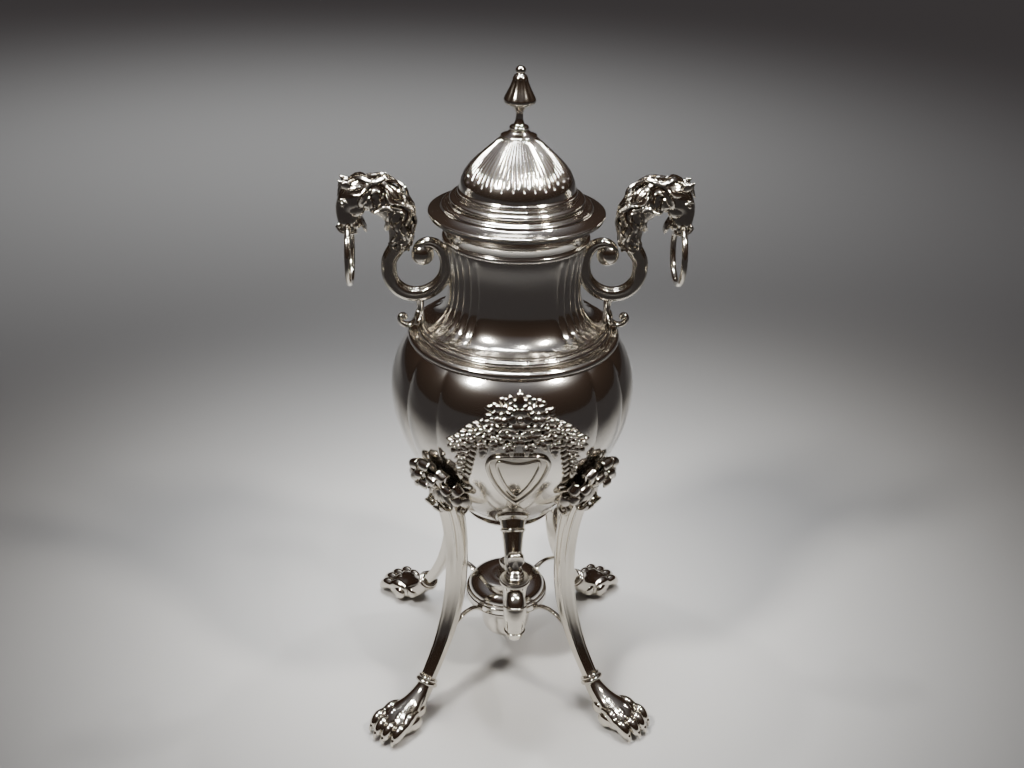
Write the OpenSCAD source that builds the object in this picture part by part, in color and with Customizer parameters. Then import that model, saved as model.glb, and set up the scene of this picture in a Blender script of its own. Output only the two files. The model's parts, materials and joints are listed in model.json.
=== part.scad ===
// Footed coffee urn with a spirit burner. Millimetres, +Z up.
// The origin is the centre of the base on the table. The tap faces -Y and the handles lie along X.

/* [Urn] */
// Largest radius of the bulbous body
body_r = 77; // [66:0.5:90]
// Height of the body's underside above the table
body_z = 132; // [118:1:155]
// Height of the body, from its underside to its shoulder
body_h = 123; // [110:1:145]
// Radius of the flat underside of the body
base_r = 28; // [24:0.5:32]
// Radius where the shoulder meets its ring
shoulder_r = 64.5; // [61:0.5:68]
// Radius of the neck at its waist
waist_r = 40.5; // [35:0.5:44]
// Height of the neck
neck_h = 67; // [56:1:80]
// Radius of the rim that the lid rests on
rim_r = 52.3; // [49:0.1:58]
// Thickness of the raised sheet
wall = 1.6; // [1.2:0.1:2]

/* [Lid] */
// Height of the domed part of the lid above its ring
dome_h = 34; // [28:0.5:42]
// Radius of the dome where it leaves its ring
dome_r = 36; // [30:0.5:38]
// Height of the finial above the top of the dome
finial_h = 37; // [30:0.5:45]
// Depth of the sleeve that locates the lid in the mouth
bezel_h = 9; // [6:0.5:14]
// Gap between that sleeve and the mouth
lid_gap = 0.4; // [0.2:0.05:0.8]

/* [Handles] */
// Distance of the ring pivots from the centre
ring_x = 100; // [98:0.5:112]
// Middle radius of the loose rings
ring_r = 18.5; // [15:0.5:21]
// Radius of the wire that the rings are made of
ring_wire_r = 1.9; // [1.4:0.1:2.2]
// Half the width of a muzzle, where the ring passes through it
muzzle_w = 5.6; // [5:0.1:6.2]

/* [Legs] */
// Distance of an ankle from the centre
ankle_s = 79; // [68:0.5:94]
// Height of the ankles
ankle_z = 24; // [20:0.5:28]
// Distance of the narrowest part of the legs from the centre
knee_s = 50; // [44:0.5:58]
// Half the thickness of a leg at its middle
leg_t = 4.4; // [3.6:0.1:5.4]

/* [Tap] */
// Distance of the tap's barrel in front of the centre
tap_y = 75; // [68:0.5:80]
// Height of the middle of the barrel
tap_z = 114; // [108:0.5:118]
// Radius of the passage through the tap
tap_bore_r = 1.9; // [1.2:0.1:1.9]
// Running gap round the tapered plug
plug_gap = 0.06; // [0.03:0.01:0.1]

/* [Burner] */
// Inner radius of the ring that holds the lamp
lamp_ring_r = 25.6; // [22:0.1:30]
// Height of the top of that ring
lamp_ring_z = 61; // [54:0.5:68]
// Gap round the lamp in its ring
lamp_gap = 0.5; // [0.3:0.1:1]
// Depth of the lamp below its rim
lamp_depth = 37; // [28:0.5:40]

/* [Hidden] */
sheet = 1.4;
belly_z = body_z + 0.73 * body_h;
shoulder_z = body_z + body_h;
ring_h = 6;
upper_ring_h = 4.5;
upper_ring_r = shoulder_r - 5.5;
neck_z = shoulder_z + ring_h + upper_ring_h;
neck_foot_r = upper_ring_r - 3.5;
neck_top_r = waist_r + 2.5;
rim_z = neck_z + neck_h + 3.5;
mouth_r = neck_top_r - wall;
bezel_r = mouth_r - lid_gap;
lid_r = rim_r + 1;
flange_h = 7;
lid_ring_h = 5;
dome_z = rim_z + flange_h + lid_ring_h;
cap_z = dome_z + dome_h;
cap_h = 3;
cap_r = 11;
stud_r = 2;
stud_gap = 0.1;
finial_z = cap_z + cap_h;
corners = [["front_left", 225], ["front_right", 315], ["rear_right", 45], ["rear_left", 135]];
sides = [["right", 0], ["left", 1]];
fine = 96;

// ---- curves ----

// A cubic curve from p[0] to p[3], in n steps
function bezier(p, n) = [
    for (i = [0 : n])
        let (t = i / n, u = 1 - t)
        u * u * u * p[0] + 3 * u * u * t * p[1] + 3 * u * t * t * p[2] + t * t * t * p[3]
];

// An arc of an ellipse with half-axes r, from angle a to angle b
function arc(centre, r, a, b, n) = [
    for (i = [0 : n])
        let (t = a + (b - a) * i / n)
        centre + [r[0] * cos(t), r[1] * sin(t)]
];

function tail(list) = [for (i = [1 : len(list) - 1]) list[i]];
function reversed(list) = [for (i = [len(list) - 1 : -1 : 0]) list[i]];
function tangent(path, i) =
    let (a = path[max(i - 1, 0)], b = path[min(i + 1, len(path) - 1)])
    (b - a) / norm(b - a);

// The same outline moved inwards by w, for an outline that is drawn upwards
function inset(path, w) = [
    for (i = [0 : len(path) - 1])
        let (t = tangent(path, i))
        path[i] + w * [-t[1], t[0]]
];

// Radius of an upward outline at height z
function radius_at(path, z) = lookup(z, [for (p = path) [p[1], p[0]]]);

// ---- shapes that repeat ----

module turned(outline) {
    rotate_extrude($fn = fine) polygon(outline);
}

module shell(path, w) {
    turned(concat(path, reversed(inset(path, w))));
}

// A bar carried along a path in the XZ plane; each size is [half thickness, half width]
module swept(path, sizes, count = 14, squareness = 1) {
    n = len(path);
    points = [
        for (i = [0 : n - 1])
            let (t = tangent(path, i))
            for (j = [0 : count - 1])
                let (
                    c = cos(360 * j / count),
                    s = sin(360 * j / count),
                    u = sizes[i][0] * sign(c) * pow(abs(c), squareness),
                    v = sizes[i][1] * sign(s) * pow(abs(s), squareness)
                )
                [path[i][0] + t[1] * u, v, path[i][1] - t[0] * u]
    ];
    walls = [
        for (i = [0 : n - 2], j = [0 : count - 1])
            let (a = i * count + j, b = i * count + (j + 1) % count)
            each [[a, a + count, b], [b, a + count, b + count]]
    ];
    first = [for (j = [0 : count - 1]) j];
    last = [for (j = [count - 1 : -1 : 0]) (n - 1) * count + j];
    polyhedron(points, concat(walls, [first, last]), convexity = 6);
}

// Sizes that run evenly through a short list of [half thickness, half width]
function sizes_along(list, n) = [
    for (i = [0 : n - 1])
        let (f = i / (n - 1) * (len(list) - 1), k = min(floor(f), len(list) - 2))
        list[k] + (list[k + 1] - list[k]) * (f - k)
];

module at_corner(angle) {
    rotate([0, 0, angle]) children();
}

module on_side(flip) {
    mirror([flip, 0, 0]) children();
}

// ---- outlines of the urn ----

body_low = bezier(
    [[base_r, body_z], [0.8 * body_r, body_z + 0.25 * body_h],
     [body_r, belly_z - 0.22 * body_h], [body_r, belly_z]], 14);
shoulder_c = 0.65 * body_r;
shoulder_a = acos((shoulder_r - shoulder_c) / (body_r - shoulder_c));
body_high = arc([shoulder_c, belly_z],
    [body_r - shoulder_c, (shoulder_z - belly_z) / sin(shoulder_a)], 0, shoulder_a, 8);
body_path = concat(body_low, tail(body_high));
body_inside = inset(body_path, wall);

neck_waist_z = neck_z + 0.42 * neck_h;
neck_low = bezier(
    [[neck_foot_r, neck_z + wall], [neck_foot_r - 9, neck_z + wall + 1],
     [waist_r, neck_z + 7], [waist_r, neck_waist_z]], 12);
neck_high = bezier(
    [[waist_r, neck_waist_z], [waist_r, neck_waist_z + 14],
     [neck_top_r, neck_z + 0.8 * neck_h - 6], [neck_top_r, neck_z + 0.8 * neck_h]], 8);
neck_path = concat(neck_low, tail(neck_high), [[neck_top_r, rim_z - sheet]]);

dome_path = concat(
    [[dome_r - 0.4, dome_z], [dome_r - 0.4, dome_z + 0.6], [dome_r - 1, dome_z + 3],
     [dome_r - 1.2, dome_z + 0.3 * dome_h]],
    bezier([[dome_r - 1.6, dome_z + 0.36 * dome_h], [dome_r - 3, dome_z + 0.5 * dome_h],
        [cap_r + 8, cap_z - 7], [cap_r - 2, cap_z]], 10));

module body_solid() {
    turned(concat([[0, body_z]], body_path, [[0, shoulder_z]]));
}

// ---- urn ----

module urn_body() {
    color("silver") difference() {
        shell(body_path, wall);
        tap_passage();
    }
}

module body_base() {
    edge = body_inside[0];
    color("silver") turned([
        [0, body_z - 2.4], [base_r - 1.5, body_z - 2.4], [base_r + 0.8, body_z - 1.8],
        [base_r + 1.2, body_z - 0.8], [base_r, body_z], edge, [edge[0] - 2.2, edge[1]],
        [edge[0] - 2.2, body_z - 1], [0, body_z - 1]
    ]);
}

module lower_shoulder_ring() {
    edge = body_inside[len(body_inside) - 1];
    top = shoulder_z + ring_h;
    color("silver") turned(concat(
        [edge],
        arc([shoulder_r - 2, shoulder_z + ring_h / 2], [3.6, ring_h / 2], -56, 90, 8),
        [[upper_ring_r - 3.5, top], [upper_ring_r - 3.5, top - sheet],
         [edge[0] - 2, top - sheet], [edge[0] - 2, edge[1]]]
    ));
}

module upper_shoulder_ring() {
    low = shoulder_z + ring_h;
    color("silver") turned(concat(
        arc([upper_ring_r - 0.5, low + upper_ring_h / 2], [1.8, upper_ring_h / 2], -90, 90, 8),
        [[neck_foot_r - 5, neck_z], [neck_foot_r - 5, neck_z - sheet],
         [upper_ring_r - 2.5, neck_z - sheet], [upper_ring_r - 2.5, low]]
    ));
}

module neck() {
    color("silver") shell(neck_path, wall);
}

module rim_collar() {
    foot_z = neck_z + 0.8 * neck_h;
    flare = bezier([[neck_top_r + 1, foot_z + 4], [neck_top_r + 1.5, rim_z - 7],
        [rim_r - 3, rim_z - 3.5], [rim_r, rim_z - sheet]], 8);
    color("silver") turned(concat(
        [[neck_top_r, foot_z]],
        arc([neck_top_r + 0.6, foot_z + 2], [1.4, 1.8], -80, 80, 6),
        flare,
        [[rim_r, rim_z], [mouth_r, rim_z], [mouth_r, rim_z - sheet], [rim_r - 2.2, rim_z - sheet]],
        [for (p = reversed(flare)) if (p[1] < rim_z - 2.5) [max(p[0] - sheet, neck_top_r), p[1] + 0.8]]
    ));
}

// ---- ornament on the front of the body ----

// A sheet of thickness t that follows the body's surface
module body_skin(t) {
    turned(concat(inset(body_path, -t), reversed(body_path)));
}

shield_w = 19;
shield_low = body_z + 0.3 * body_h;
shield_high = body_z + 0.67 * body_h;

module shield(edge) {
    half = concat(
        bezier([[0, shield_low + edge], [shield_w * 0.5, shield_low + 3 + edge],
            [shield_w - edge, shield_low + 16], [shield_w - edge, shield_high - 12]], 10),
        bezier([[shield_w - edge, shield_high - 12], [shield_w - edge, shield_high - 2],
            [shield_w * 0.4, shield_high - 6 - edge], [0, shield_high - edge]], 8));
    rotate([90, 0, 0]) linear_extrude(body_r + 10)
        polygon(concat(half, [for (p = reversed(half)) [-p[0], p[1]]]));
}

module cartouche() {
    color("silver") union() {
        intersection() {
            body_skin(1);
            shield(0);
        }
        intersection() {
            body_skin(2);
            difference() {
                shield(0);
                shield(2.5);
            }
        }
    }
}

// An outline seen from the front, raised t above the body's surface
module on_front(t) {
    intersection() {
        body_skin(t);
        rotate([90, 0, 0]) linear_extrude(body_r + 10) children();
    }
}

spray_z = body_z + 0.86 * body_h;
petal_r = 5.5;
petals = 9;

module spray_outline() {
    translate([0, spray_z]) union() {
        circle(10, $fn = 48);
        for (k = [0 : petals - 1]) {
            translate([15 * sin(360 * k / petals), 8 * cos(360 * k / petals)])
                circle(petal_r, $fn = 32);
        }
    }
}

module flower_spray() {
    color("silver") union() {
        on_front(1.6) spray_outline();
        on_front(3.2) translate([0, spray_z]) circle(8, $fn = 48);
    }
}

// A festoon beside the spray, with a drop of buds
module swag(flip) {
    color("silver") on_side(flip) on_front(2.2) difference() {
        union() {
            for (k = [0 : 5]) {
                translate([17 + 4 * k, spray_z - 9 - 7 * sin(36 * k)]) circle(3.6, $fn = 32);
            }
            for (k = [0 : 5]) {
                translate([29, spray_z - 16 - 4.6 * k]) circle(4.2 - 0.4 * k, $fn = 32);
            }
        }
        spray_outline();
    }
}

// ---- legs ----

leg_top_z = body_z + 0.3 * body_h;
leg_waist_z = 0.8 * body_z;
leg_path = concat(
    bezier([[radius_at(body_path, leg_top_z) + 5, leg_top_z + 4], [knee_s + 6, body_z + 26],
        [knee_s - 0.5, body_z + 3], [knee_s, leg_waist_z]], 14),
    tail(bezier([[knee_s, leg_waist_z], [knee_s, 0.55 * body_z],
        [0.78 * ankle_s, 2 * ankle_z], [ankle_s, ankle_z]], 16)));
leg_sizes = sizes_along(
    [[5, 10], [4.8, 9], [leg_t, 7.8], [leg_t, 7], [leg_t - 0.2, 6.2], [leg_t - 0.7, 5.2], [leg_t - 0.8, 4.6]],
    len(leg_path));
// Middle of a leg at height z
function leg_s(z) = lookup(z, [for (p = reversed(leg_path)) [p[1], p[0]]]);

module leg(angle) {
    color("silver") at_corner(angle) difference() {
        swept(leg_path, leg_sizes, 16, 0.6);
        body_solid();
        translate([0, -20, leg_top_z]) cube([body_r + 20, 40, 20]);
    }
}

// Leaf that covers the top of a leg and lies on the body
module knee_leaf(angle) {
    top_z = body_z + 0.61 * body_h;
    foot_s = radius_at(body_path, leg_top_z);
    top_s = radius_at(body_path, top_z);
    path = bezier([[foot_s + 1, leg_top_z - 1], [foot_s + 9, leg_top_z + 12],
        [top_s + 8, top_z - 14], [top_s + 1, top_z]], 12);
    color("silver") at_corner(angle) difference() {
        swept(path, sizes_along([[4.6, 9], [4.4, 13], [4, 14], [3, 10], [1.6, 4]], len(path)), 16, 0.8);
        body_solid();
        translate([0, -20, leg_top_z - 20]) cube([body_r + 20, 40, 20]);
    }
}

paw_l = 46;
toe_gap = 6.4;

module paw(angle) {
    color("silver") at_corner(angle) translate([ankle_s, 0, 0]) difference() {
        union() {
            translate([0, 0, ankle_z]) rotate([0, 142, 0]) cylinder(r = 6.4, h = 5, $fn = 32);
            hull() {
                translate([6, 0, ankle_z - 8]) sphere(6.5, $fn = 32);
                translate([22, 0, 9]) scale([1, 1.15, 0.95]) sphere(9.5, $fn = 32);
            }
            hull() {
                translate([12, 0, 6]) sphere(7, $fn = 32);
                translate([paw_l - 12, 0, 5.5]) scale([0.7, 1.8, 0.95]) sphere(7, $fn = 32);
            }
            for (toe = [-1.5 : 1 : 1.5]) {
                translate([paw_l - 8 - 1.6 * toe * toe, toe_gap * toe, 5]) sphere(5.2, $fn = 24);
            }
        }
        translate([-30, -30, -30]) cube([100, 60, 30]);
    }
}

// ---- burner frame ----

module lamp_ring() {
    color("silver") translate([0, 0, lamp_ring_z - 6]) difference() {
        cylinder(r = lamp_ring_r + 2.8, h = 6, $fn = fine);
        translate([0, 0, -1]) cylinder(r = lamp_ring_r, h = 8, $fn = fine);
    }
}

module lamp_bracket(angle) {
    ring_s = lamp_ring_r + 2.8;
    end_z = lamp_ring_z - 9;
    end_s = leg_s(end_z) - leg_t;
    path = bezier([[ring_s - 0.4, lamp_ring_z - 4], [ring_s + 8, lamp_ring_z + 3],
        [end_s - 10, lamp_ring_z + 1], [end_s + 1, end_z]], 12);
    color("silver") at_corner(angle)
        swept(path, sizes_along([[1.5, 2.4], [1.2, 1.8], [1.2, 1.8], [1.6, 2.6]], len(path)), 10);
}

// ---- handles ----

eye_x = waist_r + 17.8;
eye_z = neck_z + 35.5;
volute = [eye_x - 2.4, eye_z + 8];
neck_joint = [ring_x - 28.5, neck_z + 66.5];
pivot_z = neck_z + 62.8;

scroll_path = concat(
    [neck_joint + [6, 6]],
    bezier([neck_joint, [eye_x + 3.7, eye_z + 21],
        [eye_x + 18.3, eye_z + 11], [eye_x + 18.3, eye_z]], 10),
    [for (i = [1 : 24])
        let (a = -250 * i / 24, r = 18.3 - 4 * pow(i / 24, 2))
        [eye_x + r * cos(a), eye_z + r * sin(a)]]);

scroll_sizes = sizes_along(
    [[8, 6], [5, 5], [4.6, 4.8], [4.5, 4.6], [4, 4.4], [3, 3.8], [2.2, 3.4], [2.2, 3.4]],
    len(scroll_path));

module handle_scroll(flip) {
    color("silver") on_side(flip) difference() {
        union() {
            swept(scroll_path, scroll_sizes, 12);
            translate([volute[0], 0, volute[1]]) rotate([90, 0, 0])
                cylinder(r = 7.4, h = 9, center = true, $fn = 32);
        }
        turned(concat([[0, neck_z]], neck_path, [[0, rim_z]]));
        translate([neck_joint[0] - 20, -20, neck_joint[1]]) cube([50, 40, 40]);
    }
}

module handle_foot(flip) {
    stem_top = [eye_x + 2, eye_z - 20];
    pad_x = neck_foot_r + 2.6;
    stem = bezier([stem_top, [eye_x - 1, eye_z - 26], [pad_x, neck_z + 9], [pad_x, neck_z]], 8);
    curl = bezier([[pad_x + 0.6, neck_z + 4], [pad_x + 4, neck_z - 4],
        [pad_x + 13, neck_z - 4.5], [pad_x + 11.5, neck_z + 3.5]], 8);
    color("silver") on_side(flip) difference() {
        union() {
            swept(stem, sizes_along([[3, 3.6], [2.4, 3], [2.2, 4]], len(stem)), 10);
            swept(curl, sizes_along([[1.8, 2.6], [1.7, 2.4], [1.6, 2.2]], len(curl)), 10);
        }
        translate([0, -20, neck_z - 20]) cube([pad_x + 1.8, 40, 20]);
        swept(scroll_path, scroll_sizes, 12);
    }
}

module handle_head(flip) {
    hole_r = ring_wire_r + ring_r - sqrt(ring_r * ring_r - muzzle_w * muzzle_w) + 0.35;
    skull = [ring_x - 1.5, pivot_z + 18];
    color("silver") on_side(flip) difference() {
        union() {
            hull() {
                translate([skull[0], 0, skull[1]]) scale([1, 0.8, 1]) sphere(9.5, $fn = 32);
                translate([ring_x, 0, pivot_z - 0.5]) scale([1.3, 1, 0.85])
                    sphere(muzzle_w, $fn = 32);
            }
            hull() {
                translate([skull[0], 0, skull[1]]) scale([1, 0.75, 1]) sphere(9.5, $fn = 32);
                translate([neck_joint[0] + 8, 0, neck_joint[1] + 15]) scale([1, 0.75, 1]) sphere(9, $fn = 32);
            }
            hull() {
                translate([neck_joint[0] + 8, 0, neck_joint[1] + 15]) scale([1, 0.75, 1]) sphere(9, $fn = 32);
                translate([neck_joint[0] + 0.5, 0, neck_joint[1] + 4]) scale([1, 0.7, 0.5]) sphere(9.5, $fn = 32);
            }
            translate([ring_x - 7, 0, pivot_z + 3]) scale([0.7, 1, 1]) sphere(4.6, $fn = 24);
        }
        translate([ring_x, 0, pivot_z]) rotate([90, 0, 0])
            cylinder(r = hole_r, h = 60, center = true, $fn = 48);
        translate([neck_joint[0] - 20, -20, neck_joint[1] - 40]) cube([40, 40, 40]);
    }
}

module ring(flip) {
    color("silver") on_side(flip) translate([ring_x, 0, pivot_z - ring_r]) rotate([0, 90, 0])
        rotate_extrude($fn = fine) translate([ring_r, 0]) circle(ring_wire_r, $fn = 24);
}

// ---- tap ----

tap_root = [radius_at(body_path, body_z + 14), body_z + 14];
barrel_r = 8.6;
barrel_h = 20;
plug_top_r = 5.2;
plug_low_r = 4.4;
spout_y = tap_y + 10.5;
spout_z = tap_z - 27;
spout_r = 4.5;
spout_bend = 5.5;
// The pipe's path, as [distance in front, height]
pipe_path = bezier([tap_root - [3, -3], tap_root + [8, -8], [tap_y - 16, tap_z],
    [tap_y - barrel_r + 2, tap_z]], 14);
// Turns a shape that runs along +X to run along -Y
module forwards() {
    rotate([0, 0, -90]) children();
}

function barrel_at(z) = barrel_r - 0.1 * (tap_z + barrel_h / 2 - z);

module tap_passage() {
    forwards() translate([tap_root[0], 0, tap_root[1]]) rotate([0, 135, 0])
        cylinder(r = tap_bore_r, h = 16, center = true, $fn = 32);
}

module barrel_solid() {
    translate([0, -tap_y, tap_z - barrel_h / 2])
        cylinder(r1 = barrel_at(tap_z - barrel_h / 2), r2 = barrel_r, h = barrel_h, $fn = 64);
}

module tap_escutcheon() {
    color("silver") difference() {
        forwards() translate([tap_root[0], 0, tap_root[1]]) rotate([0, 135, 0])
            cylinder(r1 = 11, r2 = 9.5, h = 3, $fn = 64);
        body_solid();
        tap_passage();
        forwards() swept(pipe_path, sizes_along([[7.6, 7.6], [6.4, 6.4], [5, 5]], len(pipe_path)), 24);
    }
}

module tap_pipe() {
    n = len(pipe_path);
    color("silver") difference() {
        forwards() swept(pipe_path, sizes_along([[7.6, 7.6], [6.4, 6.4], [5, 5]], n), 24);
        forwards() swept(pipe_path, [for (p = pipe_path) [tap_bore_r, tap_bore_r]], 16);
        body_solid();
        barrel_solid();
        tap_passage();
    }
}

module tap_barrel() {
    low = tap_z - barrel_h / 2;
    color("silver") difference() {
        union() {
            barrel_solid();
            translate([0, -tap_y, low + barrel_h - 3]) cylinder(r1 = barrel_r, r2 = barrel_r + 0.9, h = 3, $fn = 64);
        }
        translate([0, -tap_y, low - 0.01])
            cylinder(r1 = plug_low_r + plug_gap, r2 = plug_top_r + plug_gap, h = barrel_h + 0.02, $fn = 64);
        translate([0, -tap_y, tap_z]) rotate([90, 0, 0])
            cylinder(r = tap_bore_r, h = 3 * barrel_r, center = true, $fn = 32);
    }
}

// A pipe of radius r that leaves the barrel forwards and turns down, with its end widened by flare
module elbow(r, flare, over) {
    bend_y = spout_y - spout_bend;
    translate([0, -bend_y, tap_z]) rotate([-90, 0, 0])
        cylinder(r = r, h = bend_y - tap_y, $fn = 48);
    translate([0, -bend_y, tap_z - spout_bend]) rotate([90, 0, -90])
        rotate_extrude(angle = 90, $fn = 48) translate([spout_bend, 0]) circle(r, $fn = 48);
    translate([0, -spout_y, spout_z - over])
        cylinder(r1 = r + flare, r2 = r, h = tap_z - spout_bend - spout_z + over, $fn = 48);
}

module tap_spout() {
    color("silver") difference() {
        elbow(spout_r, 0.7, 0);
        elbow(tap_bore_r, 0, 1);
        barrel_solid();
    }
}

// Perforated disc inside the body, over the start of the passage
module strainer() {
    place = tap_root + [-1, 1] * sqrt(0.5) * (wall + 2.6);
    color("silver") intersection() {
        turned(concat([[0, body_z]], body_inside, [[0, shoulder_z]]));
        forwards() translate([place[0], 0, place[1]]) rotate([0, 135, 0]) difference() {
            cylinder(r = 7, h = 5, $fn = 48);
            translate([0, 0, 1]) cylinder(r = 6, h = 6, $fn = 48);
            for (k = [0 : 5]) {
                rotate([0, 0, 60 * k]) translate([3.6, 0, -1]) cylinder(r = 0.8, h = 4, $fn = 16);
            }
            translate([0, 0, -1]) cylinder(r = 0.8, h = 4, $fn = 16);
        }
    }
}

module tap_plug() {
    low = tap_z - barrel_h / 2;
    color("silver") translate([0, -tap_y, 0]) difference() {
        union() {
            translate([0, 0, low]) cylinder(r1 = plug_low_r, r2 = plug_top_r, h = barrel_h, $fn = 64);
            translate([0, 0, low + barrel_h + 0.3])
                turned([[0, -0.3], [plug_top_r - 0.2, -0.3], [plug_top_r - 0.2, 0], [6, 0], [6, 1.6],
                    [4.6, 2.2], [5.4, 3.2], [4.2, 4.2], [4.6, 5.2], [3.4, 6], [0, 6]]);
            translate([0, 0, low - 6]) cylinder(r = 1.8, h = 6.5, $fn = 32);
        }
        translate([0, 0, tap_z]) rotate([0, 90, 0])
            cylinder(r = tap_bore_r, h = 4 * plug_top_r, center = true, $fn = 32);
    }
}

module tap_key() {
    base = tap_z + barrel_h / 2 + 6.3;
    color("silver") translate([0, -tap_y, base]) rotate([90, 0, 0])
        linear_extrude(4.6, center = true)
            polygon(concat([[-2.6, 0], [2.6, 0]], arc([0, 7.4], [5.6, 5], -50, 230, 16)));
}

module tap_nut() {
    low = tap_z - barrel_h / 2;
    color("silver") translate([0, -tap_y, low - 4.6]) difference() {
        union() {
            cylinder(r = 3.8, h = 3.4, $fn = 6);
            translate([0, 0, 3.4]) cylinder(r = 4.2, h = 0.9, $fn = 48);
        }
        translate([0, 0, -1]) cylinder(r = 1.8, h = 8, $fn = 32);
    }
}

// ---- lamp ----

lamp_r = lamp_ring_r - lamp_gap;
lamp_z = lamp_ring_z;
lamp_low_z = lamp_z - lamp_depth;
bowl_path = concat(
    [[0.1, lamp_low_z], [10, lamp_low_z]],
    bezier([[12, lamp_low_z + 0.6], [17, lamp_low_z + 3], [17.5, lamp_low_z + 12],
        [17, lamp_z - 15]], 8),
    bezier([[18, lamp_z - 13.5], [lamp_r, lamp_z - 12], [lamp_r, lamp_z - 8], [lamp_r, lamp_z]], 6));

module lamp_bowl() {
    inside = inset(bowl_path, sheet);
    color("silver") turned(concat(
        [[0, lamp_low_z]], tail(bowl_path),
        [[lamp_r + 2.6, lamp_z], [lamp_r + 2.6, lamp_z + sheet], [lamp_r - sheet, lamp_z + sheet]],
        tail(reversed([for (p = inside) if (p[0] > 0.5) p])),
        [[0, lamp_low_z + sheet]]
    ));
}

cover_top_z = lamp_z + 12;
wick_hole_r = 4;

module lamp_cover() {
    low = lamp_z + sheet;
    path = bezier([[lamp_r + 1.6, low], [lamp_r + 2.4, low + 7], [lamp_r - 6, cover_top_z],
        [wick_hole_r + 2, cover_top_z]], 12);
    color("silver") turned(concat(path, [[wick_hole_r, cover_top_z], [wick_hole_r, cover_top_z - sheet]],
        tail(reversed(inset(path, sheet)))));
}

module wick_tube() {
    color("silver") translate([0, 0, cover_top_z - 6]) difference() {
        union() {
            cylinder(r = wick_hole_r, h = 12, $fn = 48);
            translate([0, 0, 6]) cylinder(r = wick_hole_r + 2, h = 1, $fn = 48);
        }
        translate([0, 0, -1]) cylinder(r = wick_hole_r - 1, h = 14, $fn = 48);
    }
}

module wick() {
    color("ivory") translate([0, 0, lamp_low_z + sheet + 1])
        cylinder(r = wick_hole_r - 1, h = cover_top_z + 8 - lamp_low_z - sheet - 1, $fn = 32);
}

module snuffer_cap() {
    low = cover_top_z + 1.3;
    color("silver") translate([0, 0, low]) turned(concat(
        [[wick_hole_r + 0.4, 0], [wick_hole_r + 1.8, 0], [wick_hole_r + 1.5, 1.5], [wick_hole_r + 1.5, 8]],
        [[3, 10.4], [1.2, 11], [1, 12]],
        arc([0, 13.8], [2, 2], -60, 90, 6),
        [[0, 9], [wick_hole_r + 0.4, 7.2]]
    ));
}

// ---- lid ----

module lid_flange() {
    r = lid_r;
    in_r = dome_r + 1;
    color("silver") turned([
        [r - 4.6, rim_z], [r - 0.6, rim_z], [r, rim_z + 0.8], [r - 0.2, rim_z + 2], [r - 3.6, rim_z + 3.2],
        [r - 6, rim_z + 3.6], [r - 6.4, rim_z + 4.8], [r - 9.4, rim_z + 5.4], [r - 9.8, rim_z + flange_h],
        [in_r, rim_z + flange_h], [in_r, rim_z + flange_h - 1.6], [bezel_r, rim_z + flange_h - 1.6],
        [bezel_r + 0.1, rim_z + 3.8], [r - 5.4, rim_z + 1.9]
    ]);
}

module lid_ring() {
    low = rim_z + flange_h;
    color("silver") turned(concat(
        [[dome_r + 1, low]],
        arc([dome_r + 2, low + 1.8], [2.4, 1.8], -90, 90, 8),
        [[dome_r + 0.6, low + 4], [dome_r + 1, low + 4.4], [dome_r + 0.6, low + lid_ring_h],
         [dome_r - sheet, low + lid_ring_h], [dome_r - sheet, low + lid_ring_h - 1], [dome_r - 0.2, low + 3]]
    ));
}

module lid_dome() {
    color("silver") difference() {
        shell(dome_path, sheet);
        cylinder(r = stud_r + stud_gap, h = cap_z + 20, $fn = 48);
    }
}

module lid_bezel() {
    color("silver") translate([0, 0, rim_z - bezel_h]) difference() {
        cylinder(r = bezel_r, h = bezel_h + flange_h - 1.6, $fn = fine);
        translate([0, 0, -1]) cylinder(r = bezel_r - sheet, h = bezel_h + flange_h + 2, $fn = fine);
    }
}

module lid_cap() {
    color("silver") translate([0, 0, cap_z]) difference() {
        turned([[0, 0], [cap_r, 0], [cap_r + 0.4, 0.8], [cap_r - 0.6, 1.8], [8, cap_h], [0, cap_h]]);
        translate([0, 0, -1]) cylinder(r = stud_r + stud_gap, h = cap_h + 2, $fn = 48);
    }
}

bud_z = 0.38 * finial_h;

module finial_stem() {
    color("silver") turned(concat(
        [[0, cap_z - 8], [stud_r, cap_z - 8], [stud_r, finial_z], [6, finial_z]],
        arc([4.6, finial_z + 1.8], [1.6, 1.8], -60, 80, 6),
        bezier([[4, finial_z + 4], [2.4, finial_z + 5], [2.2, finial_z + 7], [2.4, finial_z + bud_z - 3]], 5),
        [[4.4, finial_z + bud_z], [0, finial_z + bud_z]]
    ));
}

module finial_bud() {
    low = finial_z + bud_z;
    high = cap_z + cap_h + finial_h;
    color("silver") turned(concat(
        [[0, low], [4.4, low]],
        bezier([[6, low + 0.4], [10.5, low + 2], [10.5, low + 6.5], [7.5, low + 10]], 8),
        bezier([[6.6, low + 11], [5, low + 13], [3, high - 9], [2.6, high - 5]], 6),
        arc([0, high - 2.7], [2.8, 2.7], -30, 90, 8)
    ));
}

// Nut on the finial's stud, inside the dome
module finial_nut() {
    color("silver") translate([0, 0, cap_z - sheet - 3.2]) difference() {
        cylinder(r = 4.4, h = 3, $fn = 6);
        translate([0, 0, -1]) cylinder(r = stud_r, h = 5, $fn = 32);
    }
}

// ---- what is drawn ----

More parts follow.
